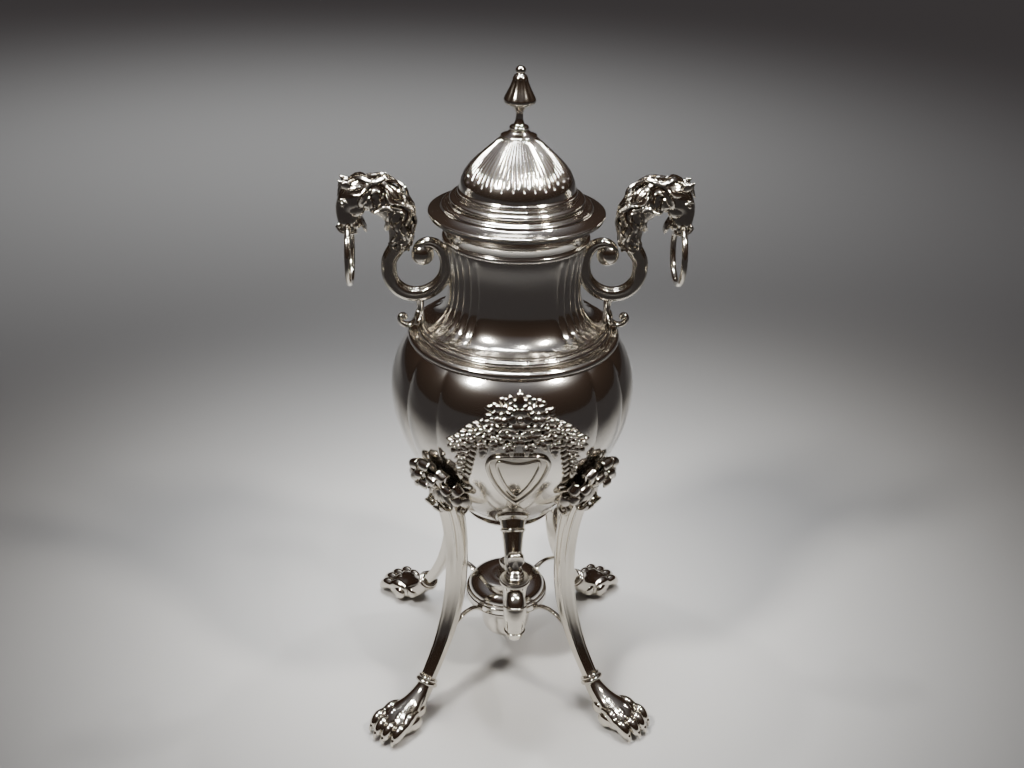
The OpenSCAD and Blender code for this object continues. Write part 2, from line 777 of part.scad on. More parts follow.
urn_body();
body_base();
lower_shoulder_ring();
upper_shoulder_ring();
neck();
rim_collar();
cartouche();
flower_spray();
for (c = corners) {
    leg(c[1]);
    knee_leaf(c[1]);
    paw(c[1]);
    lamp_bracket(c[1]);
}
for (s = sides) {
    swag(s[1]);
    handle_scroll(s[1]);
    handle_foot(s[1]);
    handle_head(s[1]);
    ring(s[1]);
}
tap_escutcheon();
tap_pipe();
tap_barrel();
tap_spout();
strainer();
tap_plug();
tap_key();
tap_nut();
lamp_ring();
lamp_bowl();
lamp_cover();
wick_tube();
wick();
snuffer_cap();
lid_flange();
lid_ring();
lid_dome();
lid_bezel();
lid_cap();
finial_stem();
finial_bud();
finial_nut();
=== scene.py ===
"""Looks of a footed silver coffee urn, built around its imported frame. All surfaces are worked out in
millimetres."""

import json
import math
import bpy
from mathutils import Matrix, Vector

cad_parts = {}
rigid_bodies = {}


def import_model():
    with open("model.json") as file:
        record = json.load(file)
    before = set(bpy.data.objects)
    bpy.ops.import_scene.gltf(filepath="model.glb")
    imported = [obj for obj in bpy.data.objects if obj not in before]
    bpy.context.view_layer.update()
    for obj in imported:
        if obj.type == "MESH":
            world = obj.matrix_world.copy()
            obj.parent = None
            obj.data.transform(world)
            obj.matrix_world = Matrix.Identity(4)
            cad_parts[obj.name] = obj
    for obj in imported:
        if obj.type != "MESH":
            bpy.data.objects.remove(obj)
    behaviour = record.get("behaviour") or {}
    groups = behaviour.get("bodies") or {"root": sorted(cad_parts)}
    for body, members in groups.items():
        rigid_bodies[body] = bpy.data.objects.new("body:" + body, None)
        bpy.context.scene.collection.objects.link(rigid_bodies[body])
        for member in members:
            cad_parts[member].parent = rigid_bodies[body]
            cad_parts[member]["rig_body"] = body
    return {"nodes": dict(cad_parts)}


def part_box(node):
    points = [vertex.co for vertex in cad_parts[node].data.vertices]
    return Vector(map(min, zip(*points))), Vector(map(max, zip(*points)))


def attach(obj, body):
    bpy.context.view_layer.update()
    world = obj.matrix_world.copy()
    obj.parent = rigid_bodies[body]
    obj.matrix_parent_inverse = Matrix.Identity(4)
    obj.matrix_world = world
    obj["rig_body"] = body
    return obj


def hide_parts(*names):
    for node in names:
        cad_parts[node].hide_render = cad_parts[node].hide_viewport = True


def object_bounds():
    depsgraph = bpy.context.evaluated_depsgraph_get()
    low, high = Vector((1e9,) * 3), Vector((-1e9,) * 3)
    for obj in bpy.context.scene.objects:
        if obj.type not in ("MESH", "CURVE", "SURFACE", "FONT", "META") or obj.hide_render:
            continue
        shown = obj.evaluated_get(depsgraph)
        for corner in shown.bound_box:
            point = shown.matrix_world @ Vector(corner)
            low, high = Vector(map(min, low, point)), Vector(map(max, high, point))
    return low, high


bl_info = {
    "name": "Silver Coffee Urn",
    "version": (1, 0, 0),
    "blender": (4, 5, 0),
    "location": "View3D > Sidebar > Coffee Urn",
    "description": "Builds the raised, chased and cast silver of a footed coffee urn",
    "category": "Object",
}

import bmesh
import bpy
import numpy as np
from mathutils import Matrix, Vector

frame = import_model()
CAD_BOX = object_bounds()

MM = 0.001
ROOT_HALF = math.sqrt(0.5)
AIM_RISE = 0.0095
FLOOR_REACH = 12.0
LOBE_THICK = 1.5


# ---- places read from the frame, in millimetres ----


def span(node):
    """Lowest and highest corner of a CAD node."""
    low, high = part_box(node)
    return np.array(low) / MM, np.array(high) / MM


BODY_Z, SHOULDER_Z = (corner[2] for corner in span("urn_body"))
BODY_H = SHOULDER_Z - BODY_Z
BELLY_R = span("urn_body")[1][0]
BELLY_Z = BODY_Z + 0.73 * BODY_H
FLOWER_Z = BODY_Z + 0.86 * BODY_H
BASE_R = span("body_base")[1][0] - 1.2
SHOULDER_R = span("lower_shoulder_ring")[1][0] - 1.6
UPPER_RING_R = span("upper_shoulder_ring")[1][0] - 1.3
UPPER_RING_Z, NECK_Z = (corner[2] for corner in span("upper_shoulder_ring"))
NECK_FOOT_R = UPPER_RING_R - 3.5
RIM_R, RIM_Z = span("rim_collar")[1][[0, 2]]
NECK_H = RIM_Z - 3.5 - NECK_Z
WAIST_R = span("lid_bezel")[1][0] - 0.5
NECK_TOP_R = WAIST_R + 2.5
WALL = 1.6
LID_R = span("lid_flange")[1][0]
LID_RING_Z, DOME_Z = (corner[2] for corner in span("lid_ring"))
DOME_R = span("lid_dome")[1][0] + 0.4
CAP_Z, FINIAL_Z = (corner[2] for corner in span("lid_cap"))
CAP_R = span("lid_cap")[1][0] - 0.4
BUD_Z, TIP_Z = (corner[2] for corner in span("finial_bud"))
RING_X = sum(corner[0] for corner in span("ring_right")) / 2
RING_WIRE = span("ring_right")[1][0] - RING_X
RING_MID_R = span("ring_right")[1][1] - RING_WIRE
RING_MID_Z = sum(corner[2] for corner in span("ring_right")) / 2
MUZZLE_Z = RING_MID_Z + RING_MID_R
ANKLE_Z = span("paw_front_right")[1][2] - 3.94
ANKLE_S = span("paw_front_right")[1][0] / ROOT_HALF - 51.35
KNEE_S = span("leg_front_right")[0][0] / ROOT_HALF + 9.5
LEG_TOP_Z = span("leg_front_right")[1][2]
TAP_Y = span("tap_nut")[0][1] + 4.2
BARREL_Z, BARREL_TOP = (corner[2] for corner in span("tap_barrel"))
TAP_Z = (BARREL_Z + BARREL_TOP) / 2
SPOUT_Y = span("tap_spout")[0][1] + 5.2
SPOUT_Z = span("tap_spout")[0][2]
KEY_Z, KEY_TOP = (corner[2] for corner in span("tap_key"))
LAMP_RING_R = span("lamp_ring")[1][0]
LAMP_RING_LOW, LAMP_RING_Z = (corner[2] for corner in span("lamp_ring"))
LAMP_R = span("lamp_bowl")[1][0] - 2.6
LAMP_LOW = span("lamp_bowl")[0][2]
COVER_Z, COVER_TOP = (corner[2] for corner in span("lamp_cover"))
WICK_R = span("wick")[1][0]
WICK_LOW, WICK_TOP = (corner[2] for corner in span("wick"))
SNUFFER_LOW, SNUFFER_TOP = (corner[2] for corner in span("snuffer_cap"))

CORNERS = {"front_left": 225, "front_right": 315, "rear_right": 45, "rear_left": 135}
SIDES = {"right": 1, "left": -1}


# ---- curves ----


def bezier(a, b, c, d, count):
    """Points of a cubic curve: the four corners weighted by the Bernstein polynomials of the parameter."""
    t = np.linspace(0, 1, count)[:, None]
    a, b, c, d = (np.array(corner, float) for corner in (a, b, c, d))
    return (1 - t) ** 3 * a + 3 * (1 - t) ** 2 * t * b + 3 * (1 - t) * t**2 * c + t**3 * d


def arc(centre, radii, start, end, count):
    """Points of an ellipse between two angles in degrees."""
    t = np.radians(np.linspace(start, end, count))
    return np.array(centre, float) + np.stack([radii[0] * np.cos(t), radii[1] * np.sin(t)], 1)


def smooth(points, count):
    """A Catmull-Rom curve: between two points it is the cubic whose end slopes are half the chords of
    the neighbours."""
    p = np.asarray(points, float)
    p = np.concatenate([[2 * p[0] - p[1]], p, [2 * p[-1] - p[-2]]])
    place = np.linspace(0, len(points) - 1, count)
    k = np.minimum(place.astype(int), len(points) - 2)
    t = (place - k).reshape((-1,) + (1,) * (p.ndim - 1))
    a, b, c, d = p[k], p[k + 1], p[k + 2], p[k + 3]
    return 0.5 * (2 * b + (c - a) * t + (2 * a - 5 * b + 4 * c - d) * t**2 + (3 * b - a - 3 * c + d) * t**3)


def spread(values, count):
    """The values placed evenly along a path, and joined by a smooth curve."""
    return smooth(np.asarray(values, float), count)


def circle(count):
    """Angles spaced evenly all the way round, in radians."""
    return np.linspace(0, 2 * np.pi, count, endpoint=False)


def eased(points, ease, steps=4, closed=True):
    """An outline with each corner rounded by a quadratic curve that starts and ends `ease` before and
    after it."""
    p = np.asarray(points, float)
    before, after = np.roll(p, 1, 0) - p, np.roll(p, -1, 0) - p
    reach = [np.maximum(np.linalg.norm(side, axis=1, keepdims=True), 1e-6) for side in (before, after)]
    start = p + before / reach[0] * np.minimum(ease, 0.45 * reach[0])
    end = p + after / reach[1] * np.minimum(ease, 0.45 * reach[1])
    t = np.linspace(0, 1, steps)[None, :, None]
    curve = (1 - t) ** 2 * start[:, None] + 2 * t * (1 - t) * p[:, None] + t**2 * end[:, None]
    if closed:
        return curve.reshape(-1, 2)
    return np.vstack([p[:1], curve[1:-1].reshape(-1, 2), p[-1:]])


def even(outline, count):
    """The same line with its points evenly spaced along its length."""
    p = np.asarray(outline, float)
    length = np.concatenate([[0], np.cumsum(np.linalg.norm(np.diff(p, axis=0), axis=1))])
    place = np.linspace(0, length[-1], count)
    return np.stack([np.interp(place, length, p[:, axis]) for axis in range(p.shape[1])], 1)


def unit(vectors):
    """Vectors divided by their lengths."""
    return vectors / np.maximum(np.linalg.norm(vectors, axis=-1, keepdims=True), 1e-9)


def inset(path, width):
    """An upward outline moved inwards: each point goes along the normal of the line through its
    neighbours."""
    t = unit(np.gradient(path, axis=0))
    return path + width * np.stack([-t[:, 1], t[:, 0]], 1)


def step(low, high, value):
    """Smooth step: 0 below low, 1 above high, and 3t^2 - 2t^3 between them."""
    t = np.clip((value - low) / (high - low), 0, 1)
    return t * t * (3 - 2 * t)


# ---- surfaces ----


def turned(outline, columns=128, shape=None):
    """An outline of (radius, height) carried round Z. shape(angle, height) is added to the radius.
    The angle is 0 at the front, where the tap is, and grows towards +X."""
    angle = circle(columns)[None]
    outline = np.asarray(outline, float)
    r, z = outline[:, :1], outline[:, 1:]
    if shape is not None:
        r = r + shape(angle, z)
    return np.stack(np.broadcast_arrays(r * np.sin(angle), -r * np.cos(angle), z), -1)


def swept(path, thick, wide, columns=24, side=(0, 1, 0), square=1.0, relief=None):
    """A bar carried along a path. Its section is a superellipse with half sizes thick and wide: thick
    lies along the cross product of side and the path, wide along side, and relief(share, angle) is
    added outwards."""
    path = np.asarray(path, float)
    rows = len(path)
    tangent = unit(np.gradient(path, axis=0))
    side = np.broadcast_to(np.array(side, float), path.shape)
    across = unit(side - np.sum(side * tangent, 1, keepdims=True) * tangent)
    out = np.cross(across, tangent)
    angle = circle(columns)[None]
    c, s = np.cos(angle), np.sin(angle)
    u = np.sign(c) * np.abs(c) ** square * np.broadcast_to(thick, rows)[:, None]
    v = np.sign(s) * np.abs(s) ** square * np.broadcast_to(wide, rows)[:, None]
    if relief is not None:
        length = np.maximum(np.hypot(u, v), 1e-6)
        grow = 1 + relief(np.linspace(0, 1, rows)[:, None], angle) / length
        u, v = u * grow, v * grow
    return path[:, None] + out[:, None] * u[..., None] + across[:, None] * v[..., None]


def rod(path, radius, columns=12):
    """A round bar along a path, with ends that are as round as its radius values say."""
    return swept(path, radius, radius, columns)


def ball(centre, radii, rows=12, columns=18):
    """An ellipsoid: sines and cosines of latitude and longitude, times its three half sizes."""
    a = np.linspace(-np.pi / 2, np.pi / 2, rows)[:, None]
    b = circle(columns)[None]
    point = np.stack(np.broadcast_arrays(np.cos(a) * np.cos(b), np.cos(a) * np.sin(b), np.sin(a)), -1)
    return np.array(centre, float) + point * np.array(radii, float)


def leaf_width(count, wide, lobes=0, broad=0.75):
    """Half width of a leaf from stalk to tip: a sine of the share to a power, notched by a rectified sine."""
    t = np.linspace(0, 1, count)
    width = wide * np.sin(np.pi * np.clip(t, 0.02, 0.995) ** broad) ** 0.7
    if lobes:
        width = width * (0.74 + 0.26 * np.abs(np.sin(np.pi * lobes * t)) ** 0.6)
    return width


def blade(path, up, width, thick, columns=14, cup=0.0, vein=0.35):
    """A leaf or petal: a lens carried along a path, square to `up`, with a groove along its middle. The
    section is (cos a, sin a) times half width and thickness; cup lifts it by the square of its
    breadth."""
    path = np.asarray(path, float)
    rows = len(path)
    tangent = unit(np.gradient(path, axis=0))
    side = unit(np.cross(tangent, np.broadcast_to(np.array(up, float), path.shape)))
    face = np.cross(side, tangent)
    a = circle(columns)[None]
    breadth, height = np.cos(a), np.sin(a)
    fade = np.minimum(1, width / max(np.max(width) * 0.5, 1e-6))[:, None]
    groove = vein * np.exp(-((breadth / 0.22) ** 2)) * (height > 0)
    lift = thick * fade * (height - groove) + cup * breadth**2 * np.asarray(width)[:, None]
    grid = path[:, None] + side[:, None] * (np.asarray(width)[:, None] * breadth)[..., None]
    grid = grid + face[:, None] * lift[..., None]
    # the second value is painted shade: darker on the blade's underside, and painted shade with tarnish in
    # its groove
    return grid, np.clip(0.55 - height + 1.6 * groove, 0, 1) * np.ones((rows, 1))


def around(grid, degrees):
    """The same points turned about Z."""
    c, s = math.cos(math.radians(degrees)), math.sin(math.radians(degrees))
    return grid @ np.array([[c, s, 0], [-s, c, 0], [0, 0, 1]])


class Work:
    """Closed surfaces gathered for one piece, in millimetres, with how dark each point is painted, from 0 to
    1: tarnish in hollows, and painted shade in creases, grooves and under raised work.
    A piece of the left side has the sign -1: it is drawn as if on the right, and its X changes sign."""

    def __init__(self, sign=1):
        self.points, self.faces, self.hollows, self.count = [], [], [], 0
        self.sign = sign

    def add(self, grid, hollow=0.0, closed=False):
        """Adds a grid whose columns run all the way round. Its rows close on each other, or end in a point.
        The faces are turned over if the volume they enclose comes out negative."""
        grid = grid * np.array([self.sign, 1, 1])
        hollow = np.broadcast_to(hollow, grid.shape[:2])
        if not closed:
            ends = np.broadcast_to(grid[[0, -1]].mean(1, keepdims=True), (2,) + grid.shape[1:])
            grid = np.concatenate([ends[:1], grid, ends[1:]])
            hollow = np.concatenate([hollow[:1], hollow, hollow[-1:]])
        rows, columns = grid.shape[:2]
        i = np.arange(rows if closed else rows - 1)[:, None]
        j = np.arange(columns)[None]
        above, beside = (i + 1) % rows * columns, (j + 1) % columns
        corners = (i * columns + j, i * columns + beside, above + beside, above + j)
        faces = np.stack(np.broadcast_arrays(*corners), -1).reshape(-1, 4)
        flat = grid.reshape(-1, 3)
        a, b, c, d = (flat[faces[:, corner]] - flat.mean(0) for corner in range(4))
        if np.sum(np.cross(c - a, d - b) * (a + b + c + d)) < 0:
            faces = faces[:, ::-1]
        self.points.append(flat)
        self.faces.append(faces + self.count)
        self.hollows.append(hollow.ravel())
        self.count += len(flat)

    def add_blade(self, made):
        """Adds what blade() returns."""
        self.add(*made)

    def make(self, name, node, slot, sharp=36):
        mesh = bpy.data.meshes.new(name)
        points = np.concatenate(self.points) * MM
        faces = np.concatenate(self.faces).astype(np.int32)
        mesh.vertices.add(len(points))
        mesh.vertices.foreach_set("co", points.astype(np.float32).ravel())
        mesh.loops.add(faces.size)
        mesh.loops.foreach_set("vertex_index", faces.ravel())
        mesh.polygons.add(len(faces))
        mesh.polygons.foreach_set("loop_start", np.arange(0, faces.size, 4, dtype=np.int32))
        # hollow: tarnish in hollows plus painted shade in creases, grooves and under raised work; the silver
        # darkens by it
        attribute = mesh.attributes.new("hollow", "FLOAT", "POINT")
        attribute.data.foreach_set("value", np.concatenate(self.hollows).astype(np.float32))
        mesh.update(calc_edges=True)
        welded = bmesh.new()
        welded.from_mesh(mesh)
        bmesh.ops.remove_doubles(welded, verts=welded.verts, dist=2e-6)
        welded.to_mesh(mesh)
        welded.free()
        mesh.polygons.foreach_set("use_smooth", np.ones(len(mesh.polygons), bool))
        mesh.set_sharp_from_angle(angle=math.radians(sharp))
        piece = bpy.data.objects.new(name, mesh)
        bpy.context.scene.collection.objects.link(piece)
        mesh.materials.append(finish(slot))
        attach(piece, frame["nodes"][node]["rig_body"])
        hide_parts(node)


def single(name, node, slot, grid, hollow=0.0, closed=False, sharp=36, sign=1):
    """A piece that is one closed surface."""
    work = Work(sign)
    work.add(grid, hollow, closed)
    work.make(name, node, slot, sharp)


# ---- materials ----


class Socket:
    """A node's output that takes part in sums: each operation on it adds one Math node."""

    def __init__(self, graph, output):
        self.graph, self.output = graph, output

    def sum(self, operation, first, second):
        return self.graph.node("Math", {"operation": operation}, {0: first, 1: second})

    def __add__(self, other):
        return self.sum("ADD", self, other)

    def __radd__(self, other):
        return self.sum("ADD", other, self)

    def __sub__(self, other):
        return self.sum("SUBTRACT", self, other)

    def __rsub__(self, other):
        return self.sum("SUBTRACT", other, self)

    def __mul__(self, other):
        return self.sum("MULTIPLY", self, other)

    def __rmul__(self, other):
        return self.sum("MULTIPLY", other, self)

    def __pow__(self, other):
        return self.sum("POWER", self, other)

    def clamped(self):
        return self.graph.node("Clamp", {}, {"Value": self})


class Graph:
    """The node tree of one material or world."""

    def __init__(self, owner):
        self.owner = owner
        owner.use_nodes = True
        self.tree = owner.node_tree
        self.tree.nodes.clear()

    def node(self, kind, settings, sockets, output=0):
        """Adds a node of a type, sets its settings and ramp stops, then gives its sockets values or links."""
        made = self.tree.nodes.new("ShaderNode" + kind)
        for key, value in settings.items():
            if key == "stops":
                ramp = made.color_ramp.elements
                while len(ramp) < len(value):
                    ramp.new(1.0)
                for stop, (place, colour) in zip(ramp, value):
                    stop.position, stop.color = place, colour
            else:
                setattr(made, key, value)
        for key, value in sockets.items():
            if isinstance(value, Socket):
                self.tree.links.new(value.output, made.inputs[key])
            else:
                made.inputs[key].default_value = value
        return Socket(self, made.outputs[output]) if made.outputs else None

    def noise(self, where, scale, detail, roughness=0.55):
        sockets = {"Vector": where, "Scale": scale, "Detail": detail, "Roughness": roughness}
        return self.node("TexNoise", {}, sockets)

    def mix(self, share, first, second):
        """A blend of two colours."""
        sockets = {"Factor": share, 6: first, 7: second}
        return self.node("Mix", {"data_type": "RGBA"}, sockets, output=2)


def silver(name, colour, tarnish_and_shade_colour, roughness, depth, clouding, ripple):
    """Silver that is darker and duller where the hollow attribute is high: tarnish where polish has not
    reached, and painted shade in creases, grooves and under raised work, with fine wipe marks. The darkening
    is that attribute plus noise; ripple is the faint unevenness of metal worked by hand."""
    g = Graph(bpy.data.materials.new(name))
    place = g.node("TexCoord", {}, {}, output=3)
    hollow = g.node("Attribute", {"attribute_name": "hollow"}, {}, output=2)
    cloud = g.noise(place, 34.0, 4.0)
    speck = g.noise(place, 520.0, 3.0, 0.7)
    marks = g.node("Mapping", {}, {"Vector": place, "Scale": (1400.0, 260.0, 420.0)})
    scratch = g.noise(marks, 1.0, 2.0, 0.5)
    # painted shade and tarnish: the attribute, with noise for a cloudy tone, mixes the silver towards a dark
    # brown
    dark = (hollow * depth + (cloud - 0.5) * clouding + (speck - 0.62) * (clouding * 0.8)).clamped()
    base = g.mix(dark, (*colour, 1), (*tarnish_and_shade_colour, 1))
    rough = (roughness + dark * 0.3 + (scratch - 0.5) * 0.05 + (cloud - 0.5) * 0.06).clamped()
    wave = g.noise(place, 55.0, 1.0, 0.4)
    height = wave * ripple + scratch * 0.012 + speck * 0.02
    normal = g.node("Bump", {}, {"Strength": 0.35, "Distance": 0.0012, "Height": height})
    shader = g.node("BsdfPrincipled", {}, {
        "Base Color": base, "Metallic": 1.0, "Roughness": rough, "Normal": normal})
    g.node("OutputMaterial", {}, {"Surface": shader})
    return g.owner


def cotton(name, colour):
    """Twisted cotton: a slanting wave for the strands, noise for stray fibres, dark and matt."""
    g = Graph(bpy.data.materials.new(name))
    place = g.node("TexCoord", {}, {}, output=3)
    strand = g.node("TexWave", {"bands_direction": "DIAGONAL"}, {
        "Vector": place, "Scale": 260.0, "Distortion": 1.5, "Detail": 2.0})
    fibre = g.noise(place, 2600.0, 3.0)
    shade = (strand * 0.6 + fibre * 0.4).clamped()
    pale = tuple(colour)
    dark = tuple(0.55 * channel for channel in colour)
    base = g.mix(shade, (*dark, 1), (*pale, 1))
    normal = g.node("Bump", {}, {"Strength": 0.7, "Distance": 0.0004, "Height": shade})
    shader = g.node("BsdfPrincipled", {}, {"Base Color": base, "Roughness": 0.95, "Normal": normal})
    g.node("OutputMaterial", {}, {"Surface": shader})
    return g.owner


def finish(slot):
    """The material of a slot, made on first use from the finish settings."""
    if slot in bpy.data.materials:
        return bpy.data.materials[slot]
    look = bpy.context.scene.urn_finish
    if slot == "cotton_wick":
        return cotton(slot, look.wick_colour)
    # tone of the silver (the lower tones of cast and chased silver are painted shade), roughness, darkness of
    # its tarnish and painted shade, clouding, ripple
    kinds = {
        "raised_silver": (0.9, look.polish, 0.75, 0.16, 0.12),
        "cast_silver": (0.55, look.polish + 0.05, 0.95, 0.4, 0.15),
        "chased_silver": (0.56, look.polish + 0.08, 1.2, 0.55, 0.2),
    }
    tone, rough, depth, clouding, ripple = kinds[slot]
    colour = tuple(tone * channel for channel in look.silver_colour)
    return silver(slot, colour, tuple(look.tarnish_and_shade_tint), rough, depth, clouding, ripple)


# ---- outlines of the urn ----


def body_outline():
    """The belly: a cubic curve from the base up to the widest point, then an arc of an ellipse to the
    shoulder."""
    low = bezier((BASE_R, BODY_Z), (0.8 * BELLY_R, BODY_Z + 0.25 * BODY_H),
                 (BELLY_R, BELLY_Z - 0.22 * BODY_H), (BELLY_R, BELLY_Z), 60)
    middle = 0.65 * BELLY_R
    end = math.degrees(math.acos((SHOULDER_R - middle) / (BELLY_R - middle)))
    high = arc((middle, BELLY_Z), (BELLY_R - middle, (SHOULDER_Z - BELLY_Z) / math.sin(math.radians(end))),
               0, end, 30)
    return np.vstack([low, high[1:]])


BODY_LINE = body_outline()


def body_radius(z):
    """Radius of the belly at a height."""
    return np.interp(z, BODY_LINE[:, 1], BODY_LINE[:, 0])


def panels(angle, edges, powers, depth):
    """What panels take off a radius: depth times the distance from a panel's middle, as a share of its
    half width, to the panel's power. Edges are in degrees from the front; the back and the left repeat
    them."""
    turn = np.degrees(np.arccos(np.clip(np.cos(angle), -1, 1)))
    turn = np.minimum(turn, 180 - turn)
    edges, powers = np.array(edges, float), np.array(powers, float)
    k = np.clip(np.searchsorted(edges, turn, side="right") - 1, 0, len(powers) - 1)
    share = np.abs(2 * turn - edges[k] - edges[k + 1]) / (edges[k + 1] - edges[k])
    return -depth * share ** powers[k]


def corner_panels(angle, depth):
    """Broad front and back panels, narrow ones over the legs and one behind each handle, so many deep."""
    look = bpy.context.scene.urn_body
    first, last = look.corner_start, look.corner_end
    return panels(angle, (-first, first, last, 180 - last), (9, 2.6, 7), depth)


def body_panels(angle, z):
    """The belly's panels, which start flat at the base and are shallower at the shoulder."""
    look = bpy.context.scene.urn_body
    height = (z - BODY_Z) / BODY_H
    depth = look.panel_depth / MM * step(0.02, 0.3, height) * (1 - 0.6 * step(0.88, 1.0, height))
    return corner_panels(angle, depth)


def on_body(flat):
    """Lays flat work on the belly: x and z stay as seen from the front, y is measured along the
    surface's normal."""
    x, height, z = flat[..., 0], flat[..., 1], flat[..., 2]
    radius = body_radius(z)
    angle = np.arcsin(np.clip(x / radius, -0.95, 0.95))
    slope = np.interp(z, BODY_LINE[:, 1], np.gradient(BODY_LINE[:, 0], BODY_LINE[:, 1]))
    lean = 1 / np.sqrt(1 + slope**2)
    radius = radius + body_panels(angle, z) + height * lean
    return np.stack([radius * np.sin(angle), -radius * np.cos(angle), z - height * slope * lean], -1)


# ---- the urn's own pieces ----


def make_belly():
    outer = even(BODY_LINE, 96)
    inner = even(inset(BODY_LINE, WALL), 40)[::-1]
    grid = turned(np.vstack([outer, inner]), 360, body_panels)
    angle = circle(360)[None]
    z = np.concatenate([outer, inner])[:, 1:]
    # painted shade: the creases between the panels are darkened
    painted_crease_shade = np.clip(-body_panels(angle, z) * MM / bpy.context.scene.urn_body.panel_depth - 0.55, 0, 1)
    single("belly", "urn_body", "raised_silver", grid, painted_crease_shade, closed=True, sharp=30)


def make_base():
    edge = BASE_R - 0.7
    outline = [(0, BODY_Z - 2.4), (BASE_R - 1.5, BODY_Z - 2.4), (BASE_R + 0.9, BODY_Z - 1.9),
               (BASE_R + 1.2, BODY_Z - 0.7), (BASE_R, BODY_Z), (edge, BODY_Z + 0.9),
               (edge - 2.2, BODY_Z + 0.9), (edge - 2.2, BODY_Z - 1), (0, BODY_Z - 1)]
    single("base_moulding", "body_base", "raised_silver", turned(eased(outline, 0.4, closed=False)))


def make_shoulder():
    """Two mouldings: a half round with a fillet above and below it, and a smaller half round with a cove."""
    low, high = SHOULDER_Z, UPPER_RING_Z

    def corners(angle, z):
        return corner_panels(angle, 0.55 * step(high, high + 2, z))

    inner = UPPER_RING_R - 3.5
    outline = np.vstack([
        [(SHOULDER_R - 2.6, low - 0.9), (SHOULDER_R + 0.2, low - 0.3)],
        arc((SHOULDER_R - 1.6, low + 2.9), (3.2, 2.9), -62, 68, 18),
        [(SHOULDER_R - 1.2, low + 5.5), (SHOULDER_R - 2.2, low + 5.2), (SHOULDER_R - 3.4, low + 5.3)],
        [(inner + 2.6, high - 0.1), (inner, high), (inner, high - 1.4), (SHOULDER_R - 5, high - 1.6)]])
    single("shoulder_moulding", "lower_shoulder_ring", "raised_silver",
           turned(eased(outline, 0.3, 3), 240), closed=True)
    outline = np.vstack([
        arc((UPPER_RING_R - 0.6, high + 1.7), (1.9, 1.7), -90, 60, 14),
        [(UPPER_RING_R - 0.4, high + 3.1), (UPPER_RING_R - 1.2, high + 3.4), (UPPER_RING_R - 1.4, high + 4.2),
         (NECK_FOOT_R - 0.6, NECK_Z), (NECK_FOOT_R - 5, NECK_Z), (NECK_FOOT_R - 5, NECK_Z - 1.4),
         (UPPER_RING_R - 2.5, NECK_Z - 1.4), (UPPER_RING_R - 2.5, high)]])
    single("collar_moulding", "upper_shoulder_ring", "raised_silver",
           turned(eased(outline, 0.25, 3), 360, corners), closed=True)


def neck_flutes(angle, z):
    """Reeds between the front panel and the side: each is one narrow panel."""
    look = bpy.context.scene.urn_body
    height = (z - NECK_Z) / NECK_H
    depth = look.reed_depth / MM * step(-0.02, 0.1, height) * (1 - 0.55 * step(0.7, 0.8, height))
    first, last = look.reed_start, look.reed_end
    edges = np.concatenate([[-first], np.linspace(first, last, look.reeds + 1), [180 - last]])
    return panels(angle, edges, [12] + [2.2] * look.reeds + [8], depth)


def make_neck():
    waist_z = NECK_Z + 0.42 * NECK_H
    top_z = NECK_Z + 0.8 * NECK_H
    low = bezier((NECK_FOOT_R, NECK_Z + 0.6), (NECK_FOOT_R - 9, NECK_Z + 3.0),
                 (WAIST_R, NECK_Z + 12), (WAIST_R, waist_z), 40)
    high = bezier((WAIST_R, waist_z), (WAIST_R, waist_z + 14), (NECK_TOP_R, top_z - 6), (NECK_TOP_R, top_z),
                  24)
    line = np.vstack([low, high[1:], [(NECK_TOP_R, RIM_Z - 1.5)]])
    outer = even(line, 84)
    inner = even(inset(line, WALL), 30)[::-1]
    columns = 432
    grid = turned(np.vstack([outer, inner]), columns, neck_flutes)
    angle = circle(columns)[None]
    z = np.concatenate([outer, inner])[:, 1:]
    # painted shade: the creases between the reeds are darkened
    painted_crease_shade = np.clip(-neck_flutes(angle, z) * MM / bpy.context.scene.urn_body.reed_depth - 0.35, 0, 1)
    single("neck_shell", "neck", "raised_silver", grid, painted_crease_shade, closed=True, sharp=40)


def make_rim():
    """A bead round the neck's top, and above it a flare that opens to the rim under the lid."""
    foot = NECK_Z + 0.8 * NECK_H
    flare = bezier((NECK_TOP_R + 0.4, foot + 4.6), (NECK_TOP_R + 1.5, RIM_Z - 6.4),
                   (RIM_R - 3.6, RIM_Z - 4.2), (RIM_R - 0.6, RIM_Z - 1.9), 18)
    mouth = NECK_TOP_R - WALL
    outline = np.vstack([
        [(NECK_TOP_R - 0.3, foot)],
        arc((NECK_TOP_R + 0.4, foot + 1.9), (1.5, 1.6), -80, 80, 12),
        [(NECK_TOP_R + 0.2, foot + 3.7)], flare,
        [(RIM_R, RIM_Z - 1.5), (RIM_R, RIM_Z - 0.3), (RIM_R - 0.5, RIM_Z), (mouth, RIM_Z),
         (mouth, RIM_Z - 1.4), (RIM_R - 3, RIM_Z - 1.6)],
        (inset(flare, 1.4) + (0, 0.2))[-3:4:-1],
        [(NECK_TOP_R - 0.3, foot + 6)]])
    single("rim_moulding", "rim_collar", "raised_silver", turned(outline, 240), closed=True, sharp=50)


# ---- ornament on the front ----


